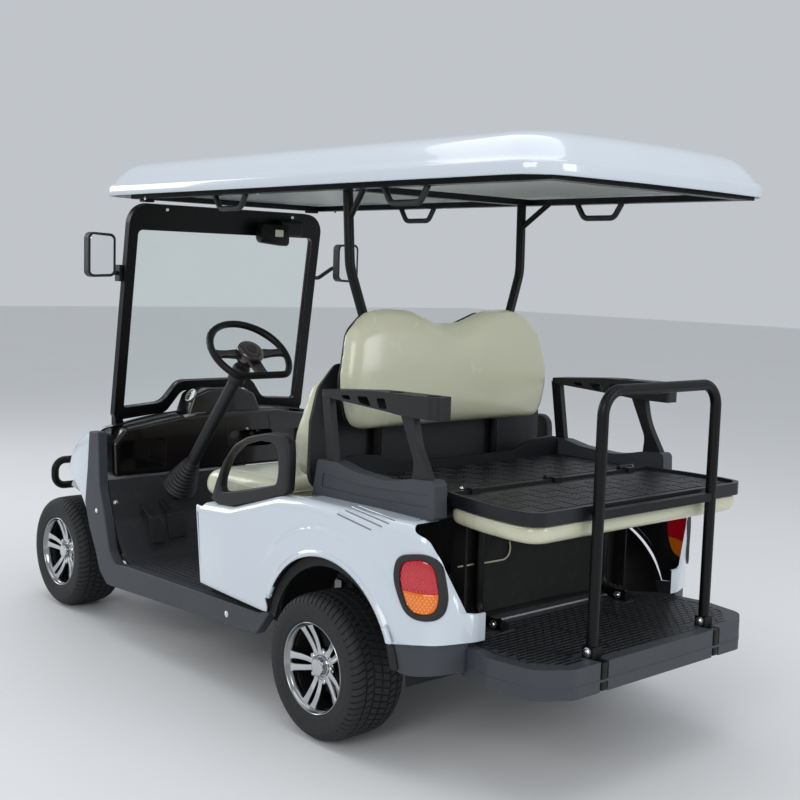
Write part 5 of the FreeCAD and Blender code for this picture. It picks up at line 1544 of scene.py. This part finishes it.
# dashboard: dial, silver strip, lock, glovebox seam
_q = hit(191, 395.5, "dashboard")
if _q is not None:
    _c, _n = dm(_q[0]), _q[1]
    lathe("gauge_ring", [(-2, 27), (3.4, 27), (5.0, 25.8), (5.0, 24.2), (2.0, 23.0), (-2, 23.0)], _c, _n, "silver", 56, closed=True)
    lathe("gauge_face", [(-2, 0), (-2, 23.4), (1.2, 23.4), (1.2, 0)], _c, _n, "dial", 48)
    _t = _n.orthogonal().normalized()
    _b = _n.cross(_t)
    _d = []
    for _k in range(11):
        _w = radians(-120 + 24 * _k)
        _dir = _b * cos(_w) + _t * sin(_w)
        _p = [_c + _dir * (17.0 if _k % 5 else 15.0) + _n * 1.6, _c + _dir * 20.5 + _n * 1.6]
        _d.append(sweep_data(_p, [(-0.4, -0.5), (0.4, -0.5), (0.4, 0.5), (-0.4, 0.5)]))
    _p = [_c - _b * 4 + _n * 2.2, _c + (_b * 0.8 + _t * 0.6) * 15 + _n * 2.2]
    _d.append(sweep_data(_p, [(-0.4, -0.7), (0.4, -0.7), (0.4, 0.7), (-0.4, 0.7)]))
    _v, _f = merge(*_d)
    piece("gauge_marks", _v, _f, "label")


def px_strip(name, pts, nodes, half, high, mat, closed=False, sink=1.0):
    row = []
    n = len(pts)
    for i in range(n if closed else n - 1):
        a, b = pts[i], pts[(i + 1) % n]
        for k in range(8):
            u = k / 8.0
            q = hit(a[0] + (b[0] - a[0]) * u, a[1] + (b[1] - a[1]) * u, *nodes)
            if q is not None:
                row.append((dm(q[0]), q[1]))
    if len(row) < 4:
        print("no strip for", name)
        return
    up = (sum((nn for _, nn in row), Vector()) / len(row)).normalized()
    V, F = sweep_data([p for p, _ in row], [(-sink, -half), (high * 0.6, -half), (high, -half * 0.6), (high, half * 0.6), (high * 0.6, half), (-sink, half)], closed=closed, up=up)
    piece(name, V, F, mat, angle=50)


px_strip("dash_silver_strip", [(184, 416.5), (192, 414.5), (207, 411.8)], ("dashboard",), 8.0, 2.0, "silver")
px_strip("glovebox_seam", [(226, 417), (268, 411), (271, 437), (228, 446)], ("dashboard",), 1.6, 1.6, "gloss", closed=True)
for _i, (_x, _y, _r) in enumerate(((251.5, 433.0, 10.0), (246.5, 428.5, 6.0), (257.5, 430.5, 6.0))):
    _q = hit(_x, _y, "dashboard")
    if _q is not None:
        lathe("dash_lock_%d" % _i, [(-2, 0), (-2, _r), (4, _r), (6.5, _r - 1.5), (7.5, _r - 4), (7.5, 0)], dm(_q[0]), _q[1], "silver", 28)

# floor mat ribs
_d = []
for _k in range(44):
    _y = -506 + _k * 23.5
    if abs(_y) < 8:
        continue
    _q = cast(D(860, _y, 620), (0, 0, -1), "floorboard")
    if _q is None:
        continue
    _z = _q[0].z * 1000 + OZ
    if _z > 330:
        continue
    _d.append(rib(650, 1075, _y, _y + 6.0, _z - 0.5, _z + 2.2, 1.2))
if _d:
    _v, _f = merge(*_d)
    piece("floor_mat_ribs", _v, _f, "mat", angle=60)
for _n, _w in (("roof_handles", 2.0), ("pedals", 2.0), ("headlights", 1.2)):
    soften(_n, _w)


# ------------------------------------------------------------ floor, light
bm = bmesh.new()
bmesh.ops.create_grid(bm, x_segments=40, y_segments=40, size=30.0)
me = bpy.data.meshes.new("floor")
bm.to_mesh(me)
bm.free()
floor = bpy.data.objects.new("floor", me)
floor.location = (0, 0, -0.0005)
floor_mat = material("studio_floor", (0.78, 0.785, 0.79, 1), 0.62, var=0.01, var_scale=0.6, grain=0.03, grain_scale=60.0)
me.materials.append(floor_mat)
bpy.context.scene.collection.objects.link(floor)

world = bpy.data.worlds.new("studio")
bpy.context.scene.world = world
world.use_nodes = True
bg = world.node_tree.nodes["Background"]
bg.inputs["Color"].default_value = (0.86, 0.90, 0.95, 1.0)
bg.inputs["Strength"].default_value = 0.62


def area(name, loc, target, size, size_y, energy, colour=(1, 1, 1)):
    ld = bpy.data.lights.new(name, "AREA")
    ld.shape = "RECTANGLE"
    ld.size, ld.size_y = size, size_y
    ld.energy = energy
    ld.color = colour
    ob = bpy.data.objects.new(name, ld)
    ob.location = loc
    ob.rotation_euler = (Vector(target) - Vector(loc)).to_track_quat("-Z", "Y").to_euler()
    bpy.context.scene.collection.objects.link(ob)
    return ob


area("top_softbox", (0.0, 0.0, 5.2), (0, 0, 0), 6.0, 4.0, 92, (0.97, 0.985, 1.0))
area("key_softbox", (-3.4, 5.2, 3.4), (0, 0, 0.8), 3.0, 2.4, 95, (1.0, 0.99, 0.97))
area("rear_softbox", (-5.6, -1.8, 2.6), (0, 0, 0.8), 2.4, 2.0, 60, (0.98, 0.99, 1.0))
area("front_softbox", (5.4, 2.2, 2.8), (0, 0, 0.8), 2.6, 2.0, 60)

bpy.context.scene.view_settings.view_transform = "Standard"
bpy.context.scene.view_settings.look = "None"
bpy.context.scene.view_settings.exposure = 0.0
bpy.context.scene.view_settings.gamma = 1.0
